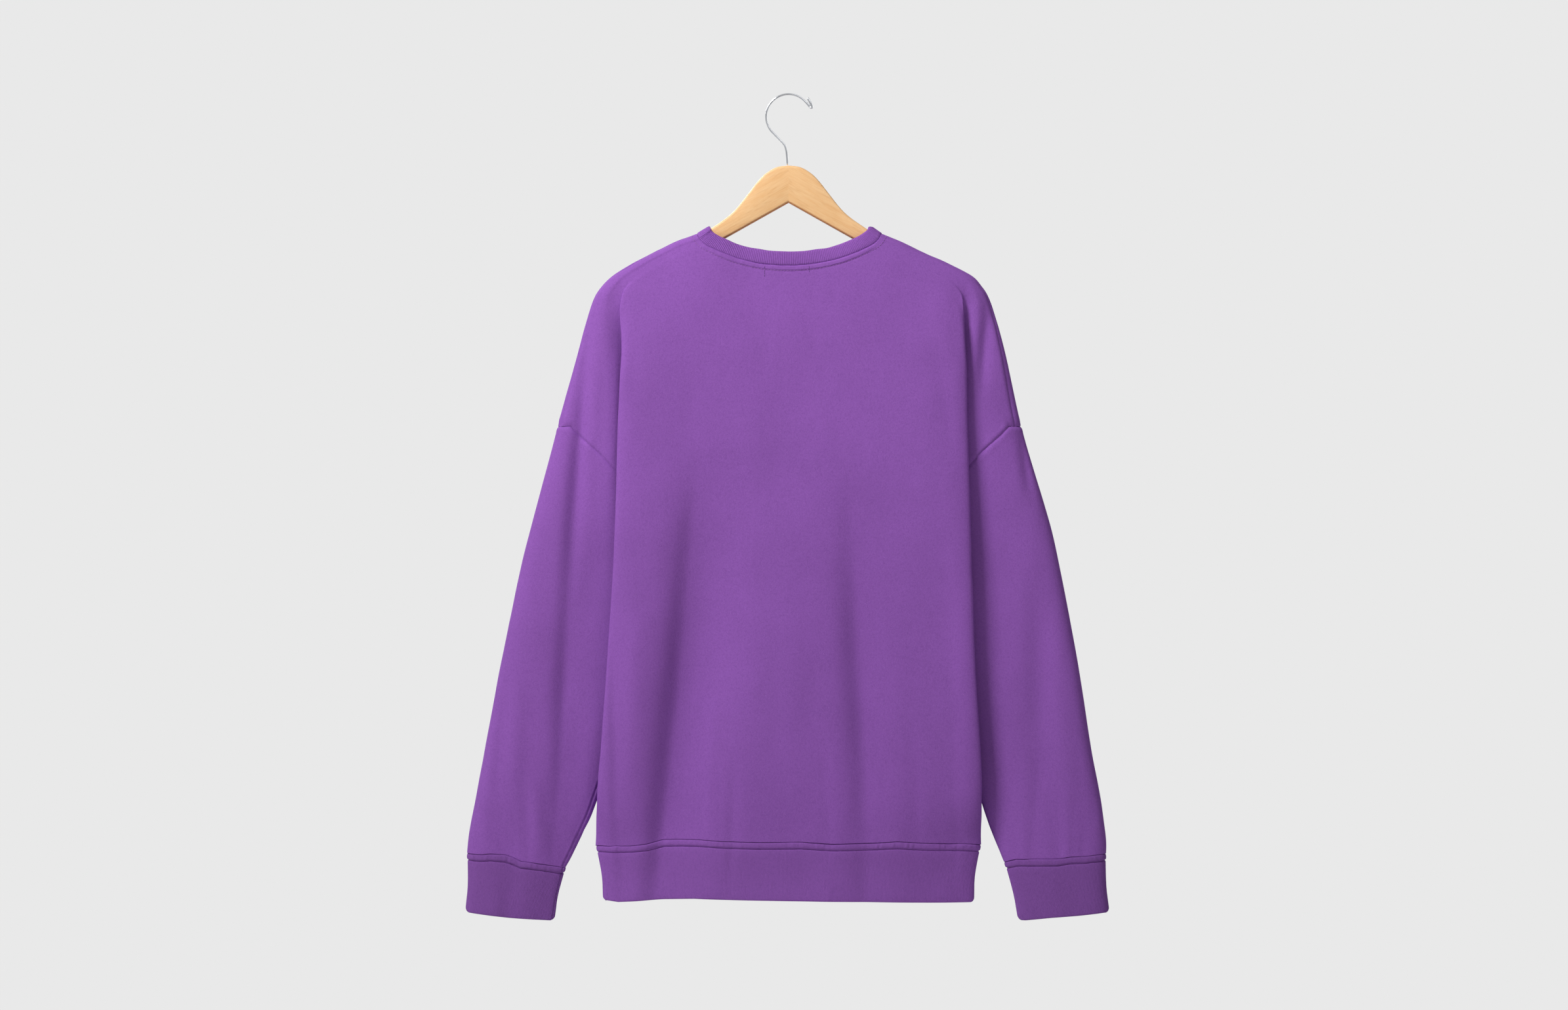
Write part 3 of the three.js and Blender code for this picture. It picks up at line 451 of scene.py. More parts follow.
class Mesh:
    """Points with outward normals, and faces that look outward."""

    def __init__(self):
        self.points, self.normals, self.faces, self.count = [], [], [], 0

    def grid(self, points, normals, flip):
        rows, columns = points.shape[:2]
        numbers = self.count + np.arange(rows * columns).reshape(rows, columns)
        a, b, c, d = numbers[:-1, :-1], numbers[:-1, 1:], numbers[1:, 1:], numbers[1:, :-1]
        order = (a, d, c, b) if flip else (a, b, c, d)
        self.faces.append(np.stack([k.ravel() for k in order], axis=1))
        self.points.append(points.reshape(-1, 3))
        self.normals.append(normals.reshape(-1, 3))
        self.count += rows * columns

    def joined(self):
        """Merges points in the same place and drops faces without area."""
        points, normals, faces = (np.concatenate(x) for x in (self.points, self.normals, self.faces))
        keys = np.round(points * 500).astype(np.int64)
        _, first, again = np.unique(keys, axis=0, return_index=True, return_inverse=True)
        points, normals, faces = points[first], normals[first], again.ravel()[faces]
        return points, unit(normals), [tuple(dict.fromkeys(f)) for f in faces.tolist() if len(set(f)) > 2]


def face_normals(points, faces):
    a, b, c, d = (points[[f[k % len(f)] for f in faces]] for k in (0, 1, 2, 3))
    last = np.where((np.array([len(f) for f in faces]) == 3)[:, None], c, d)
    return np.cross(c - a, last - b)


def vertex_normals(points, faces):
    flat = face_normals(points, faces)
    flat = np.where(np.linalg.norm(flat, axis=1, keepdims=True) > 0, flat, 0)
    normals = np.zeros_like(points)
    counts = np.array([len(f) for f in faces])
    corners = np.concatenate([np.array(f) for f in faces])
    np.add.at(normals, corners, np.repeat(flat, counts, axis=0))
    return unit(normals)


def shell(points, faces, thickness):
    """Outer points closed into a thin wall with a rim."""
    normals = vertex_normals(points, faces)
    count = len(points)
    edges_found = {}
    for f in faces:
        for k, a in enumerate(f):
            edges_found[(a, f[(k + 1) % len(f)])] = True
    rim = [(a, b) for a, b in edges_found if (b, a) not in edges_found]
    inner = [tuple(k + count for k in reversed(f)) for f in faces]
    sides = [(b, a, a + count, b + count) for a, b in rim]
    return np.vstack([points, points - normals * thickness]), [*faces, *inner, *sides]


def put_in_scene(name, data):
    thing = bpy.data.objects.new(name, data)
    bpy.context.scene.collection.objects.link(thing)
    return thing


def add_mesh(name, points, faces, material, slot, node=None):
    """A smooth-shaded piece from points in millimetres, and the node it replaces, if any."""
    mesh = bpy.data.meshes.new(name)
    mesh.from_pydata((np.asarray(points) * MM).tolist(), [], faces)
    mesh.update()
    mesh.materials.append(material)
    mesh.polygons.foreach_set("use_smooth", [True] * len(faces))
    piece = put_in_scene(name, mesh)
    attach(piece, "root")
    if node:
        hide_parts(node)
    return piece


# Materials

def colour(r, g, b):
    """A colour from its 0 to 255 screen values."""
    parts = [v / 255 for v in (r, g, b)]
    return tuple(v / 12.92 if v < 0.0404 else ((v + 0.055) / 1.055) ** 2.4 for v in parts) + (1,)


class Nodes:
    """The nodes of a material or of the world."""

    def __init__(self, owner):
        owner.use_nodes = True
        self.owner, self.tree = owner, owner.node_tree
        self.shader = self.tree.nodes.get("Principled BSDF")
        self.coordinates = self.tree.nodes.new("ShaderNodeTexCoord").outputs
        self.place = self.coordinates["Object"]

    def add(self, kind, inputs=None, **settings):
        node = self.tree.nodes.new(kind)
        for key, value in settings.items():
            setattr(node, key, value)
        for key, value in (inputs or {}).items():
            socket = node.inputs[key]
            if isinstance(value, bpy.types.NodeSocket):
                self.tree.links.new(value, socket)
            else:
                socket.default_value = value
        return node

    def link(self, output, name):
        self.tree.links.new(output, self.shader.inputs[name])

    def constants(self, values):
        for name, value in values.items():
            self.shader.inputs[name].default_value = value

    def scaled(self, scale, vector=None):
        inputs = {"Vector": vector or self.place, "Scale": scale}
        return self.add("ShaderNodeMapping", inputs).outputs["Vector"]

    def noise(self, scale, detail=3, roughness=0.55, vector=None):
        inputs = {"Vector": vector or self.place, "Scale": scale, "Detail": detail, "Roughness": roughness}
        return self.add("ShaderNodeTexNoise", inputs).outputs["Fac"]

    def remap(self, value, from_min, from_max, to_min, to_max):
        inputs = {"Value": value, "From Min": from_min, "From Max": from_max,
                  "To Min": to_min, "To Max": to_max}
        return self.add("ShaderNodeMapRange", inputs).outputs["Result"]

    def axis(self, vector, name):
        return self.add("ShaderNodeSeparateXYZ", {"Vector": vector}).outputs[name]

    def math(self, operation, *values):
        return self.add("ShaderNodeMath", dict(enumerate(values)), operation=operation).outputs[0]

    def blend(self, factor, a, b, mode="MIX"):
        inputs = {0: factor, 6: a, 7: b}
        return self.add("ShaderNodeMix", inputs, data_type="RGBA", blend_type=mode).outputs[2]

    def bump(self, height, strength, distance):
        node = self.add("ShaderNodeBump", {"Height": height, "Strength": strength, "Distance": distance})
        self.link(node.outputs["Normal"], "Normal")


def knit_material(name, base, dark, light, grain=1.0):
    """Matt cotton knit: flecks of lighter and darker fibre, loops as a bump with painted shade in their
    hollows, and painted shade that darkens it towards the bottom.
    """
    n = Nodes(bpy.data.materials.new(name))
    flecks = n.noise(1500, 2, 0.7)
    soft = n.noise(420, 3, 0.6)
    broad = n.noise(11, 3, 0.55)
    loops = n.noise(1250, 1, 0.5, n.scaled((1, 1, 0.6)))
    shade = n.blend(n.remap(broad, 0.35, 0.65, 0, 1), base, tuple(b * 0.93 for b in base[:3]) + (1,))
    shade = n.blend(n.remap(soft, 0.45, 0.75, 0, 0.26), shade, dark)
    shade = n.blend(n.remap(flecks, 0.56, 0.8, 0, 0.6), shade, light)
    # Painted shade: the knit is darker where its loops lie low in the bump.
    shade = n.blend(n.remap(loops, 0.3, 0.46, 0.24, 0), shade, dark)
    # Painted shade: the knit is multiplied darker towards the bottom, in place of light that falls off lower
    # down.
    shade = n.blend(n.remap(n.axis(n.place, "Z"), -0.3, -0.88, 0, 1), shade, PAINTED_LOW_SHADE, "MULTIPLY")
    n.link(shade, "Base Color")
    n.constants({"Roughness": 0.93, "Specular IOR Level": 0.18, "Sheen Weight": 0.08,
                 "Sheen Roughness": 0.6, "Sheen Tint": light})
    height = n.math("ADD", n.math("MULTIPLY", loops, 0.6), n.math("MULTIPLY", soft, 0.8))
    n.bump(height, 0.42 * grain, 0.0006)
    return n.owner


def wood_material(name, slope):
    """Pale varnished wood: grain along the arm, and painted shade that makes its underside warmer and darker.
    """
    n = Nodes(bpy.data.materials.new(name))
    turned = n.add("ShaderNodeMapping", {"Vector": n.place, "Rotation": (0, math.radians(slope), 0)})
    along_arm = turned.outputs["Vector"]
    grain = n.noise(6, 4, 0.6, n.scaled((9, 70, 70), along_arm))
    fine = n.noise(22, 4, 0.7, n.scaled((5, 120, 120), along_arm))
    shade = n.blend(n.remap(grain, 0.35, 0.68, 0, 1), colour(255, 208, 152), colour(248, 194, 134))
    shade = n.blend(n.remap(fine, 0.55, 0.85, 0, 0.3), shade, colour(226, 160, 98))
    rings = n.noise(5, 2, 0.5, n.scaled((3.2, 26, 52), along_arm))
    rings = n.math("ABSOLUTE", n.math("SUBTRACT", rings, 0.5))
    shade = n.blend(n.remap(rings, 0, 0.035, 0.26, 0), shade, colour(214, 150, 92))
    # Painted shade: faces that look downward are made warmer and darker.
    upward = n.axis(n.add("ShaderNodeNewGeometry").outputs["Normal"], "Z")
    shade = n.blend(n.remap(upward, -0.3, -0.75, 0, 0.85), shade, colour(214, 122, 40))
    n.link(shade, "Base Color")
    n.constants({"Roughness": 0.5, "Coat Weight": 0.06, "Coat Roughness": 0.22})
    n.bump(fine, 0.1, 0.0004)
    return n.owner


def wire_material(name):
    """Bright chrome with faint smears."""
    n = Nodes(bpy.data.materials.new(name))
    smear = n.noise(90, 3, 0.6)
    shade = n.blend(n.remap(smear, 0.3, 0.7, 0, 1), colour(214, 216, 220), colour(190, 192, 197))
    n.link(n.remap(smear, 0.3, 0.7, 0.1, 0.24), "Roughness")
    n.link(shade, "Base Color")
    n.constants({"Metallic": 1.0})
    return n.owner


def thread_material(name, light, dark):
    n = Nodes(bpy.data.materials.new(name))
    twist = n.noise(1600, 2, 0.6)
    n.link(n.blend(n.remap(twist, 0.35, 0.65, 0, 1), light, dark), "Base Color")
    n.constants({"Roughness": 0.75})
    n.bump(twist, 0.3, 0.0002)
    return n.owner


# Painted shade: how much darker the knit is made at the bottom.
PAINTED_LOW_SHADE = (0.86, 0.86, 0.87, 1)
fleece = knit_material("fleece", colour(150, 93, 184), colour(114, 65, 145), colour(182, 128, 210))
rib = knit_material("rib", colour(148, 92, 181), colour(110, 63, 139), colour(176, 123, 204), 0.7)
# Painted shade: the cuffs get a darker copy of the rib knit.
shaded_cuff_rib = knit_material("shaded_cuff_rib", colour(135, 84, 165), colour(101, 58, 127), colour(163, 113, 188), 0.7)
wood = {side: wood_material(f"wood_{side}", -SIGN[side] * ARM_SLOPE) for side in SIDES}
wire = wire_material("wire")
thread = thread_material("thread", colour(186, 130, 205), colour(150, 98, 172))
dark_thread = thread_material("thread_dark", colour(92, 58, 116), colour(70, 42, 92))

# Seams, as lines that grooves and puckers are measured from

def armhole_line(side):
    near, far = RIDGE - 0.3, RIDGE + 0.3
    t = np.concatenate([np.linspace(VALLEY, near, 160), np.linspace(near, far, 60),
                        np.linspace(far, 2 * RIDGE - VALLEY, 160)])
    return surface("sleeve", side, "back", t, armhole_drop(t))


def shoulder_line(side):
    drop = np.linspace(NECK_POINT_DROP, ARMHOLE_TOP_DROP, 260)
    return surface("body", side, "back", np.full_like(drop, SHOULDER_SEAM[side]), drop)


def neck_line(side, layer):
    last = len(BODY_COLUMNS) + len(cap_columns(side, layer)) - 2
    t, drop = neck_seam(side, layer, np.linspace(0, last, 260))
    return surface("body", side, layer, t, drop)


def nearest(line, points):
    """For each point its distance to a line and how far along the line that is."""
    run = run_along(line)
    distance, along = np.empty(len(points)), np.empty(len(points))
    for start in range(0, len(points), 4000):
        few = slice(start, start + 4000)
        gaps = ((points[few, None, :] - line[None, :, :]) ** 2).sum(axis=2)
        distance[few], along[few] = np.sqrt(gaps.min(axis=1)), run[gaps.argmin(axis=1)]
    return distance, along


def plain_seam(distance):
    """Height beside a pressed seam: a groove with a soft swell."""
    return -1.0 * bell(distance, 1.2) + 0.35 * bell(distance - 4.2, 2.4)


def narrow_seam(distance):
    """Height beside the underarm seam, whose allowance lies flat on one side."""
    return -1.0 * bell(distance, 0.9) + 0.25 * bell(distance - 2.2, 1.2)


def topstitched_seam(distance):
    """Height beside the neck seam: a groove, the raised allowance and the dip of its stitch line."""
    strip = smooth(distance, 0.3, 1.6) * (1 - smooth(distance, 4.9, 5.8))
    return -0.5 * bell(distance, 0.8) + 0.75 * strip - 0.35 * bell(distance - 5.8, 0.6)


def seam_relief(points, line, shape, pucker, pitch, reach, seed):
    """Height of the cloth near a seam, from the seam's own shape and uneven puckers."""
    box_low, box_high = line.min(axis=0) - 30, line.max(axis=0) + 30
    close = ((points > box_low) & (points < box_high)).all(axis=1)
    height = np.zeros(len(points))
    if not close.any():
        return height
    distance, along = nearest(line, points[close])
    wave = noise(along / pitch + seed * 7.3, distance / (reach * 2) + seed)
    height[close] = shape(distance) + pucker * wave * np.exp(-distance / reach)
    return height


def wear(points, seed):
    """The soft unevenness of hung cloth, in mm, from broad waves down to small ones."""
    x, z, other = points[:, 0], points[:, 2], np.where(points[:, 1] > 0, 37.0, 0.0)
    waves = ((0.45, 34, 90, 1), (0.16, 13, 30, 3), (0.05, 5, 8, 5))
    return sum(high * noise(x / wide + seed * k + other, z / tall + other)
               for high, wide, tall, k in waves)


def lowered(x, table, model_drop):
    """How far a measured line of the hem lies below the drop that the section gives there."""
    table = np.array(table, float)
    return np.interp(x, table[:, 0], table[:, 1]) - model_drop


def model_hem_drop(x):
    return HEM_SEAM_DROP + HEM_SIDE_FALL * np.minimum(np.abs(x) / 200, 1) ** 1.6


# Panels

def settled(points):
    """Lets the corners of the neck down a little, where the collar bends over the shoulder seam."""
    at_corner = bell(np.abs(points[:, 0]) - NECK_HALF_WIDTH, 18) * (1 - smooth(-points[:, 2], 150, 180))
    return points - at_corner[:, None] * [0, 0, NECK_CORNER_FALL]


def panel_height(layer, points):
    """How far the outside of a panel stands out from its middle surface."""
    height = OUTSIDE + wear(points, PANEL_SEED[layer])
    for side in SIDES:
        height = height + seam_relief(points, armhole_line(side), plain_seam, 0.5, 7, 7, 1)
        height = height + 0.7 * seam_relief(points, shoulder_line(side), plain_seam, 0.3, 8, 6, 2)
    neck = np.vstack([neck_line("left", layer)[::-1], neck_line("right", layer)[1:]])
    middle = 1 - smooth(np.abs(points[:, 0]), 84, 98)
    height = height + middle * seam_relief(points, neck, topstitched_seam, 0.22, 5, 5, 3)
    return height


def make_panel(layer):
    mesh = Mesh()
    for side in SIDES:
        places, rows, on_armhole, underarm = panel_rows(side, layer)
        cap = cap_columns(side, layer)
        extra = [6] if layer == "back" else [6, 4, 4]
        cap_places = closer_at_end(between(CAP_STEPS + extra), 40)
        columns = np.concatenate([between(BODY_STEPS), len(BODY_COLUMNS) - 1 + cap_places[1:]])
        split = sum(BODY_STEPS)
        body_t = np.interp(columns[:split + 1], range(len(BODY_COLUMNS)), BODY_COLUMNS)
        fraction = (np.interp(cap_places[1:], range(len(cap)), cap) - VALLEY) / (cap[-1] - VALLEY)
        centre, valley, end, cap_end = (rows[:, c:c + 1] for c in range(4))
        t = np.hstack([np.broadcast_to(body_t, (len(rows), len(body_t))), mix(VALLEY, cap_end, fraction)])
        drop = np.hstack([mix(centre, valley, (body_t / VALLEY) ** 2), mix(valley, end, fraction)])
        drop[on_armhole, -1] = armhole_drop(t[on_armhole, -1])
        neck_t, neck_drop = neck_seam(side, layer, columns)
        level = (neck_drop - neck_drop[0]) / (NECK_POINT_DROP - neck_drop[0])
        follow = np.where(places < 5, 1 - smooth(places, 0, 5), 0)[:, None]
        t = mix(t, neck_t, follow)
        drop = mix(drop, mix(centre, end, level), follow)
        points, normals = surface_and_normals("body", side, layer, t, drop)
        flip = (side == "right") != (layer == "front")
        last = np.searchsorted(places, underarm) + 1
        mesh.grid(points[:, :split + 1], normals[:, :split + 1], flip)
        mesh.grid(points[:last, split:], normals[:last, split:], flip)
    points, normals, faces = mesh.joined()
    x, y, drop = points[:, 0], points[:, 1], -points[:, 2]
    layer_of = np.where(y > 0, 1, -1)
    inward = smooth(np.abs(y), 6, 14) * fold_depth(FINE_FOLDS, layer_of, x, drop, 0.9)
    fall = smooth(drop, 745, HEM_SEAM_DROP) * lowered(x, HEM_SEAM_LINE, model_hem_drop(x))
    fall = fall * (layer == "back")
    fold_start = bell(np.abs(x) - FOLD_START_X, 10) * smooth(drop, 200, 220) * (1 - smooth(drop, 262, 300))
    points = points + normals * (panel_height(layer, points) * (1 - fold_start))[:, None]
    points[:, 1] -= layer_of * inward
    points[:, 2] -= fall
    wall = (CLOTH * (1 - 0.8 * fold_start))[:, None]
    solid = shell(settled(points), faces, wall)
    return add_mesh(f"{layer}_cloth", *solid, fleece, "fleece", f"{layer}_panel")


# Sleeves

def cuff_seam_drop(side, t):
    """The seam above a cuff follows the line measured on the back."""
    x = surface("sleeve", side, "back", t, np.full_like(t, 818))[..., 0]
    line = np.array(CUFF_SEAM_LINE[side])
    return np.interp(x, line[:, 0], line[:, 1])


def sleeve_relief(side, points):
    """Long soft creases of a sleeve, with shorter puckers above the cuff."""
    drop = -points[:, 2]
    reach = np.abs(points[:, 0])
    seed = SLEEVE_SEED[side]
    front = np.where(points[:, 1] > 0, 5.0, 0.0)
    low = smooth(drop, 700, 805)
    long_folds = noise(reach / 24 + drop / 160 + seed + front, drop / 210 + seed)
    puckers = noise(reach / 9 + seed * 2 + front, drop / 45 + front)
    return 0.6 * long_folds * smooth(drop, 380, 520) + (0.1 + 0.7 * low) * puckers


def underarm_line(side):
    """The seam along the inner edge, a little way onto the back."""
    drop = np.linspace(UNDERARM_DROP + 8, 826, 300)
    return surface("sleeve", side, "back", np.full_like(drop, UNDERARM_SEAM[side]), drop)


def make_sleeve(side):
    mesh = Mesh()
    half = np.concatenate([np.linspace(VALLEY, 3.3, 24), np.linspace(3.3, CAP_END, 37)[1:],
                           np.linspace(CAP_END, RIDGE, 12)[1:]])
    columns = np.concatenate([half, 2 * RIDGE - half[::-1][1:]])
    part = np.concatenate([[0, 0.0011, 0.0027, 0.0055], np.linspace(0.01, 0.993, 150), [0.996, 0.9985, 1]])
    drop = mix(armhole_drop(columns)[None, :], cuff_seam_drop(side, columns)[None, :], part[:, None])
    t = np.broadcast_to(columns, drop.shape)
    mesh.grid(*surface_and_normals("sleeve", side, "back", t, drop), side == "right")
    points, normals, faces = mesh.joined()
    height = wear(points, SLEEVE_WEAR_SEED[side]) * 0.7 + sleeve_relief(side, points)
    below_arm = smooth(-points[:, 2], UNDERARM_DROP - 120, UNDERARM_DROP + 60)
    height = OUTSIDE + height * (0.35 + 0.65 * below_arm)
    height = height + seam_relief(points, armhole_line(side), plain_seam, 0.5, 7, 7, 1)
    height = height + seam_relief(points, underarm_line(side), narrow_seam, 0.15, 7, 3, 4)
    solid = shell(points + normals * height[:, None], faces, CLOTH)
    return add_mesh(f"sleeve_cloth_{side}", *solid, fleece, "fleece", f"sleeve_{side}")


# Bands

def take(line, run, at):
    """Points of a line at given lengths along it."""
    return np.stack([np.interp(at, run, line[:, k]) for k in range(3)], axis=1)


def resample(loop, count):
    """Evenly spaced points round a closed loop, and its length."""
    closed = np.vstack([loop, loop[:1]])
    run = run_along(closed)
    return take(closed, run, np.arange(count) / count * run[-1]), run[-1]


def zip_rings(start_a, count_a, start_b, count_b):
    """Triangles between two closed rings, advancing on the one that lags behind."""
    faces, a, b = [], 0, 0
    while a < count_a or b < count_b:
        here = (start_a + a % count_a, start_b + b % count_b)
        if b >= count_b or (a < count_a and (a + 0.5) / count_a <= (b + 0.5) / count_b):
            a += 1
            faces.append((here[0], start_a + a % count_a, here[1]))
        else:
            b += 1
            faces.append((here[0], start_b + b % count_b, here[1]))
    return faces


def stitched_rings(rings, closed=True):
    """Rings joined by faces, each to the next, and the last to the first where closed."""
    faces, starts = [], np.concatenate([[0], np.cumsum([len(r) for r in rings])])
    for k in range(len(rings) if closed else len(rings) - 1):
        n = (k + 1) % len(rings)
        a, b, count = int(starts[k]), int(starts[n]), len(rings[k])
        if count == len(rings[n]):
            turn = [(i + 1) % count for i in range(count)]
            faces += [(a + i, a + turn[i], b + turn[i], b + i) for i in range(count)]
        else:
            faces += zip_rings(a, count, b, len(rings[n]))
    return np.vstack(rings), faces


def capped_rings(rings):
    """Rings joined into a bar with both ends closed."""
    points, faces = stitched_rings(rings, closed=False)
    count = len(rings[0])
    return points, faces + [tuple(range(count))[::-1], tuple(len(points) - count + k for k in range(count))]


def circle(centre, side, over, radius, count):
    angles = (2 * math.pi * a / count for a in range(count))
    return [centre + (side * math.cos(a) + over * math.sin(a)) * radius for a in angles]


def rib_wave(count, per_rib):
    """Height of each point round a ribbed ring, from 0 in a channel to 1 on a rib."""
    phase = np.arange(count) % per_rib / per_rib
    return np.clip(0.5 + 0.75 * np.sin(2 * np.pi * phase), 0, 1)


def joined_loop(line_of):
    """A seam as one closed loop: across the back from left to right, then back along the front."""
    return np.vstack([line_of("left", "back")[::-1], line_of("right", "back")[1:],
                      line_of("right", "front")[:-1][::-1], line_of("left", "front")[1:-1]])


def hem_line(side, layer):
    t = np.concatenate([np.linspace(0, 1.7, 120), np.linspace(1.7, 2.3, 80)[1:],
                        np.linspace(2.3, VALLEY, 60)[1:]])
    drop = mix(HEM_SEAM_DROP, HEM_SEAM_DROP + HEM_SIDE_FALL, (t / VALLEY) ** 2)
    return surface("body", side, layer, t, drop)


def cuff_loop(side):
    t = np.linspace(VALLEY, 2 * RIDGE - VALLEY, 401)[:-1]
    loop = surface("sleeve", side, "back", t, cuff_seam_drop(side, t))
    return loop if side == "right" else loop[::-1]


def make_neckband():
    """The neckband: rings that follow the neck seam and lean inward more and more to the sides."""
    facts, loop = NECKBAND, joined_loop(neck_line)
    ribs = round(resample(loop, 1)[1] / facts["pitch"])
    fine = ribs * facts["points_per_rib"]

    def ring(count, height, offset, raised):
        base, _ = resample(loop, count)
        reach = count // ribs // 2
        run = unit(np.roll(base, -reach, axis=0) - np.roll(base, reach, axis=0))
        off_middle = np.abs(base[:, 0])
        sideways = np.minimum(off_middle / 98, 1) ** 2.5
        lean = np.radians(mix(facts["lean_centre"], facts["lean_side"], sideways))
        inward = unit(np.stack([-base[:, 0] * sideways, -base[:, 1], np.zeros(count)], axis=1))
        rise = inward * np.sin(lean)[:, None]
        rise[:, 2] += np.cos(lean)
        rise = unit(rise - run * (rise * run).sum(axis=1, keepdims=True))
        out = unit(np.cross(run, rise))
        height = height * (1 + 0.03 * noise(np.arange(count) * 40 / count, np.full(count, 3.3)))
        wave = rib_wave(count, facts["points_per_rib"]) * raised if raised else 0
        if offset < 0:
            offset = offset * (1 - 0.6 * bell(off_middle - 98, 7))
        front_corner = bell(off_middle - NECK_HALF_WIDTH, 8) * smooth(base[:, 1], -1, 4)
        place = base + rise * np.reshape(height, (-1, 1)) + out * np.reshape(offset + wave, (-1, 1))
        place[:, 2] -= NECKBAND_FRONT_FALL * front_corner * np.clip(height / facts["height"], 0, 1)
        return place

    half, high = facts["wall"] / 2, facts["height"]
    outside = [(-0.5, 0.1, 0), (0.2, 0.75, 0.1), (0.9, 1.2, 0.6), (1.8, 1.45, 1), (4.5, 1.6, 1),
               (7.6, 1.65, 1), (10.5, 1.6, 1), (12.8, 1.45, 1), (14, 1.2, 0.9), (14.8, 0.75, 0.7),
               (high, 0.15, 0.5)]
    inside = [(14.9, -0.6), (14.2, -1.1), (12.5, -1.45), (7.6, -half), (2, -half), (0, -half), (-0.5, -1)]
    rings = [ring(fine, h, o, facts["rise"] * r) for h, o, r in outside]
    rings += [ring(ribs * 2, h, o, 0) for h, o in inside]
    points, faces = stitched_rings(rings)
    return add_mesh("neckband_rib", settled(points), faces, rib, "rib", "neckband")


def make_band(name, node, loop, facts, shift, seed):
    """A ribbed band hung from its seam, under a cover-stitched strip that puckers."""
    ribs = round(resample(loop, 1)[1] / facts["pitch"])
    fine = ribs * facts["points_per_rib"]
    middle = resample(loop, 400)[0].mean(axis=0)
    is_hem = name == "hem_rib"

    def ring(count, part, lift, raised):
        base, total = resample(loop, count)
        normals = unit(np.cross(unit(np.roll(base, -1, axis=0) - np.roll(base, 1, axis=0)), [0, 0, 1]))
        drawn = smooth(part, -0.2, 0.75) * 0.85 + part * 0.15
        along = np.arange(count) / count * total
        off_middle = base[:, 0] - middle[0]
        place_x = middle[0] + off_middle * mix(1, facts["width"], drawn) + shift * part
        to_end = np.minimum(place_x - place_x.min(), place_x.max() - place_x)
        left_over = np.clip(facts["corner"] - to_end, 0, facts["corner"])
        round_off = facts["corner"] - np.sqrt(facts["corner"] ** 2 - left_over ** 2)
        bottom = -base[:, 2] + facts["height"]
        if not is_hem:
            line = np.array(CUFF_EDGE_LINE["left" if middle[0] < 0 else "right"])
            bottom = np.interp(place_x, line[:, 0], line[:, 1])
        drop = mix(-base[:, 2], bottom - round_off, part)
        if is_hem:
            seam = lowered(base[:, 0], HEM_SEAM_LINE, model_hem_drop(base[:, 0]))
            edge = lowered(place_x, HEM_EDGE_LINE, bottom)
            back = smooth(-base[:, 1], -4, 4)
            drop = drop + mix(seam, edge, part) * back + FRONT_HEM_FALL * part * (1 - back)
        place_y = middle[1] + (base[:, 1] - middle[1]) * mix(1, facts["depth"], drawn)
        place = np.stack([place_x, place_y, -drop], axis=1)
        wavy = noise(along / 26 + seed, np.full(count, part * 2.2 + seed)) * 0.7 * part
        pucker = noise(along / 2.9 + seed, np.full(count, seed + 0.5)) * 0.45 * max(lift, 0)
        if is_hem:
            layer = np.where(place[:, 1] > 0, 1, -1)
            flat = 1 - smooth(np.abs(place[:, 0]), 176, 192)
            folds = fold_depth(FINE_FOLDS, layer, place[:, 0], drop, 0.9) * flat
            place[:, 1] -= layer * folds * (1 - 0.35 * part)
        else:
            lift = lift - 0.8 * bell(along - total + 3.4, 0.8)
        relief = OUTSIDE + lift + wavy + pucker + rib_wave(count, facts["points_per_rib"]) * raised
        return place + normals * relief[:, None]

    cover, rise = COVER / facts["height"], facts["rise"]
    strip = [(0, -0.9, 0), (0.05, -0.3, 0), (0.12, 0.35, 0.1), (0.28, 0.7, 0.1), (0.5, 0.8, 0.1),
             (0.72, 0.75, 0.1), (0.87, 0.45, 0.1), (0.95, -0.3, 0.1), (1.01, -0.85, 0.1), (1.08, -0.75, 0.2),
             (1.15, -0.15, 0.6), (1.3, 0.05, 1)]
    outside = [(cover * part, lift, raised) for part, lift, raised in strip]
    outside += [(part, 0, 1) for part in np.linspace(cover * 1.9, 0.955, 7)]
    outside += [(0.982, -0.1, 0.9), (0.996, -0.45, 0.6), (1, -0.9, 0.3)]
    inside = [(0.996, -1.35), *[(part, -1.8) for part in (0.97, 0.7, 0.4, 0.15, 0.03)], (0, -1.6)]
    rings = [ring(fine, part, lift, rise * raised) for part, lift, raised in outside]
    rings += [ring(ribs * 2, part, lift, 0) for part, lift in inside]
    points, faces = stitched_rings(rings)
    return add_mesh(name, points, [f[::-1] for f in faces], rib if is_hem else shaded_cuff_rib, "rib", node)


# Stitches

def stitches(name, line, normals, material, pitch, length, radius):
    """Short rounded threads along a line that lies on the cloth."""
    run = run_along(line)
    at = np.arange(pitch / 2, run[-1], pitch)
    centre, out = take(line, run, at), unit(take(normals, run, at))
    ahead = unit(take(line, run, at + 0.4) - take(line, run, at - 0.4))
    side = unit(np.cross(out, ahead))
    profile = [(-0.5, 0.15), (-0.4, 0.8), (0, 1.1), (0.4, 0.8), (0.5, 0.15)]
    points, faces = [], []
    for k in range(len(at)):
        rings = [circle(centre[k] + ahead[k] * step * length + out[k] * 0.35 * radius * size,
                        side[k], out[k], radius * size, 6) for step, size in profile]
        thread_points, thread_faces = capped_rings(rings)
        faces += [tuple(len(thread_points) * k + corner for corner in f) for f in thread_faces]
        points.append(thread_points)
    return add_mesh(name, np.vstack(points), faces, material, "fleece")


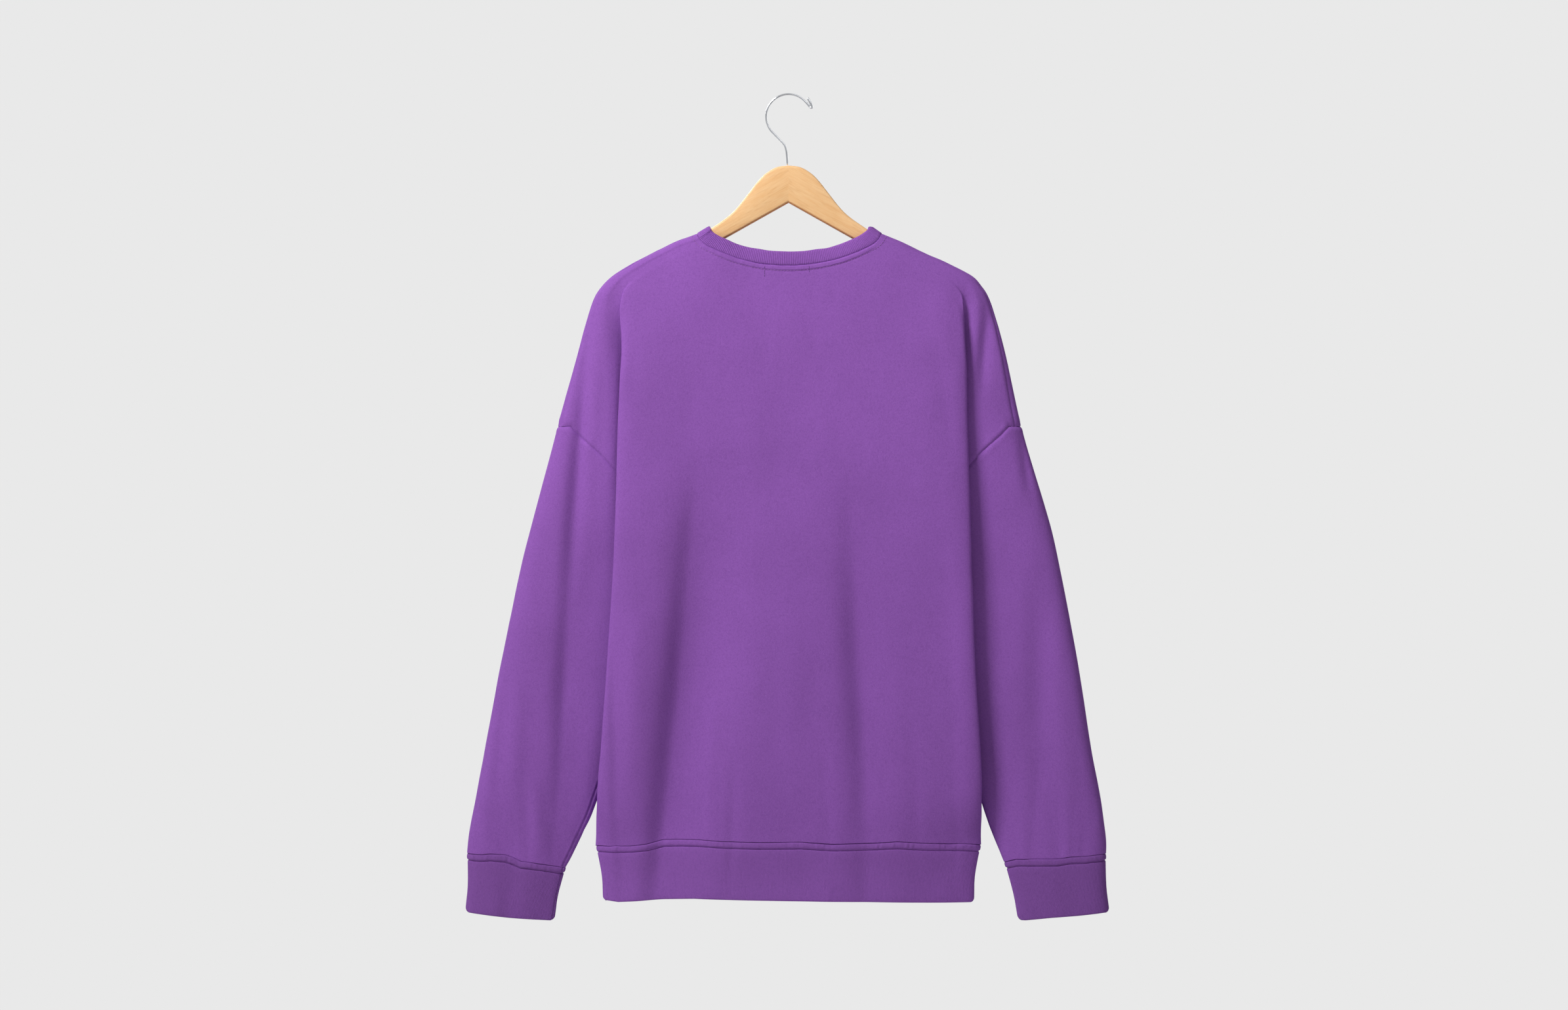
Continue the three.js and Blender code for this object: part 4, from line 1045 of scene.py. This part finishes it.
def below_neck(layer, distance):
    """A line on the panel a little way below the neck seam, with its normals."""
    halves = []
    for side in SIDES:
        last = len(BODY_COLUMNS) + len(cap_columns(side, layer)) - 2
        columns = np.linspace(0, last - (0 if layer == "back" else 2), 240)
        t, drop = neck_seam(side, layer, columns)
        line, normals = surface_and_normals("body", side, layer, t, drop)
        tangent = unit(np.gradient(line, axis=0))
        down = np.cross(normals, tangent)
        down *= np.sign(-down[:, 2:3] + 1e-9)
        halves.append((line + unit(down) * distance, normals))
    line = np.vstack([halves[0][0][::-1], halves[1][0][1:]])
    normals = np.vstack([halves[0][1][::-1], halves[1][1][1:]])
    return settled(line + normals * (panel_height(layer, line) + 0.25)[:, None]), normals


def label_mark(name, x, drop0, drop1):
    """The short upright stitches that hold a label on the inside, where they show on the back."""
    drop = np.linspace(drop0, drop1, 40)
    side = "right" if x > 0 else "left"
    t = place_of_x(side, "back", np.full_like(drop, abs(x)), drop)
    line, normals = surface_and_normals("body", side, "back", t, drop)
    line = line + normals * (panel_height("back", line) + 0.1)[:, None]
    return stitches(name, line, normals, dark_thread, **LABEL_STITCHES)


back_cloth = make_panel("back")
front_cloth = make_panel("front")
sleeves = {side: make_sleeve(side) for side in SIDES}
neckband = make_neckband()
hem_band = make_band("hem_rib", "hem_band", joined_loop(hem_line), HEM, 0, 1)
cuffs = {side: make_band(f"shaded_cuff_rib_{side}", f"cuff_{side}", cuff_loop(side), CUFF, CUFF_SHIFT[side],
                         CUFF_SEED[side]) for side in SIDES}
for layer in ("back", "front"):
    line, normals = below_neck(layer, NECK_STITCH_LINE)
    stitches(f"neck_stitches_{layer}", line, normals, thread, **NECK_STITCHES)
marks = [label_mark("label_mark_left", -25.5, 184.6, 196.5), label_mark("label_mark_right", 22, 184.6, 190.5)]

# Hanger

def catmull_rom(points, steps):
    points = np.array(points, float)
    padded = np.vstack([2 * points[0] - points[1], points, 2 * points[-1] - points[-2]])
    out = []
    for k in range(len(points) - 1):
        p0, p1, p2, p3 = padded[k:k + 4]
        for s in np.arange(steps) / steps:
            out.append(hermite(p1, (p2 - p0) / 2, p2, (p3 - p1) / 2, s))
    return np.array(out + [points[-1]])


def make_hook():
    """The wire: stem, diagonal, three quarters of a round and a tip folded back on itself."""
    angles = np.radians(np.linspace(195, 42, 16))
    arc = [(HOOK_RADIUS * math.cos(a), 0, HOOK_RADIUS - WIRE_RADIUS - HOOK_RADIUS * math.sin(a))
           for a in angles]
    stem = [(-1.2, 0, 75.1), (-1.7, 0, 67), (-2.6, 0, 59), (-4.6, 0, 53.2), (-9.7, 0, 47.5), (-15.2, 0, 41.9),
            (-20.3, 0, 36.2)]
    tip = [(20.6, -0.3, 9.9), (23.4, -1, 13.2), (24.9, -2.1, 13), (23.4, -3, 8.6), (20.2, -3, 2.6)]
    path = catmull_rom(np.array([*stem, *arc, *tip]) * [1, 1, -1], 6)
    last = len(path) - 1
    tangent = unit(np.gradient(path, axis=0))
    side = unit(np.cross(tangent, [0, 1, 0.001]))
    over = np.cross(tangent, side)
    rings = []
    for k in range(last + 1):
        thicker = 1 + 0.3 * smooth(k, last - 25, last - 13)
        rounded = {0: 0.35, 1: 0.8}.get(min(k, last - k), 1)
        rings.append(circle(path[k], side[k], over[k], WIRE_RADIUS * thicker * rounded, 16))
    points, faces = capped_rings(rings)
    return add_mesh("hook_wire", points, [(f[0], *f[:0:-1]) for f in faces], wire, "wire", "hanger_hook")


def make_arm(side):
    """One arm: sections with rounded edges along it, a flat mitre face and a rounded tip."""
    sign = SIGN[side]
    hump = catmull_rom([(x, 0, drop) for x, drop in ARM_HUMP], 10)[:, (0, 2)]
    s = np.linspace(0, 1, 41)[:, None]
    p0, p1, p2, p3 = (np.array(p, float) for p in ARM_TIP)
    tip = p0 * (1 - s) ** 3 + 3 * p1 * s * (1 - s) ** 2 + 3 * p2 * s * s * (1 - s) + p3 * s ** 3
    nose = tip[:, 0].argmax()
    upper = np.vstack([hump, tip[:nose + 1]])
    lower = np.vstack([ARM_UNDERSIDE[:-1], tip[nose:][::-1]])
    end = tip[nose, 0]
    x_list = np.concatenate([[0], np.linspace(2, 90, 45), np.linspace(94, 182, 23),
                             end - (end - 182) * np.array([0.75, 0.5, 0.3, 0.15, 0.06, 0.015, 0.001])])
    rings = []
    for x in x_list:
        top, bottom = np.interp(x, upper[:, 0], upper[:, 1]), np.interp(x, lower[:, 0], lower[:, 1])
        half = max((bottom - top) / 2, 0.05)
        corner = min(ARM_ROUNDING, half)
        thick = min(ARM_HALF_THICKNESS, ARM_HALF_THICKNESS - ARM_ROUNDING + corner)
        ring = []
        for quarter in range(4):
            for step in range(5):
                angle = math.radians(90 * quarter + 22.5 * step)
                y = math.cos(angle) * corner + (thick - corner) * (1 if quarter in (0, 3) else -1)
                z = math.sin(angle) * corner + (half - corner) * (1 if quarter in (0, 1) else -1)
                ring.append((sign * x, y, z - (top + bottom) / 2))
        rings.append(ring)
    points, faces = capped_rings(rings)
    if sign < 0:
        faces = [tuple(f)[::-1] for f in faces]
    arm = add_mesh(f"arm_{side}", points, faces, wood[side], "wood", f"hanger_arm_{side}")
    arm.data.set_sharp_from_angle(angle=math.radians(40))


make_hook()
for side in SIDES:
    make_arm(side)

# Stage, light and camera

FILL = 0.15
GLOSS = (0.5, 1.25)
BACKDROP = colour(233, 233, 233)
FLOOR_REACH = 2.4
FLOOR_LEVEL = -1.35
MIDDLE = (0, 0, -0.42)
CAMERA_PLACE = (-0.0049, -4.02, -0.4396)
CAMERA_DISTANCE = 4
VIEW_WIDTH = 1.673
SENSOR = 36


floor_mesh = bpy.data.meshes.new("floor")
corners = [(x * FLOOR_REACH, y * FLOOR_REACH, FLOOR_LEVEL) for x, y in ((-1, -1), (1, -1), (1, 1), (-1, 1))]
floor_mesh.from_pydata(corners, [], [(0, 1, 2, 3)])
pale = Nodes(bpy.data.materials.new("floor_pale"))
pale.link(pale.blend(pale.noise(3), colour(226, 226, 226), colour(222, 222, 222)), "Base Color")
pale.constants({"Roughness": 0.9})
floor_mesh.materials.append(pale.owner)
put_in_scene("floor", floor_mesh)

# The camera sees a pale background, mirrors see it too but darker towards the camera, and the cloth
# gets a weaker fill light.
world = Nodes(bpy.data.worlds.new("studio"))
backdrop = world.tree.nodes["Background"]
backdrop.inputs["Color"].default_value = BACKDROP
fill = world.add("ShaderNodeBackground", {"Color": BACKDROP, "Strength": FILL})
rays = world.add("ShaderNodeLightPath").outputs
room = world.remap(world.axis(world.coordinates["Generated"], "Y"), -0.9, -0.1, *GLOSS)
seen = world.math("MULTIPLY_ADD", rays["Is Glossy Ray"], room, rays["Is Camera Ray"])
both = world.add("ShaderNodeMixShader", {0: seen, 1: fill.outputs[0], 2: backdrop.outputs[0]})
world.tree.links.new(both.outputs[0], world.tree.nodes["World Output"].inputs["Surface"])
bpy.context.scene.world = world.owner
bpy.context.scene.view_settings.view_transform = "Standard"


def area_light(name, place, target, size, power):
    light = bpy.data.lights.new(name, "AREA")
    light.shape = "RECTANGLE"
    light.size = light.size_y = size
    light.energy = power
    lamp = put_in_scene(name, light)
    lamp.location = place
    lamp.rotation_euler = (Vector(target) - Vector(place)).to_track_quat("-Z", "Y").to_euler()


area_light("key", (-2.0, -1.8, 2.1), MIDDLE, 1.1, 125)
area_light("upper", (0.7, -1.5, 0.9), (0, 0, -0.3), 1.2, 6)
area_light("rear", (-1.8, 3.2, 1.4), MIDDLE, 1.6, 84)
area_light("rear_fill", (1.6, 2.8, 0.3), MIDDLE, 1.6, 16)

camera_data = bpy.data.cameras.new("camera")
camera_data.sensor_width = SENSOR
camera_data.lens = SENSOR * CAMERA_DISTANCE / VIEW_WIDTH
camera = put_in_scene("camera", camera_data)
camera.location = CAMERA_PLACE
camera.rotation_euler = (math.pi / 2, 0, 0)
bpy.context.scene.camera = camera
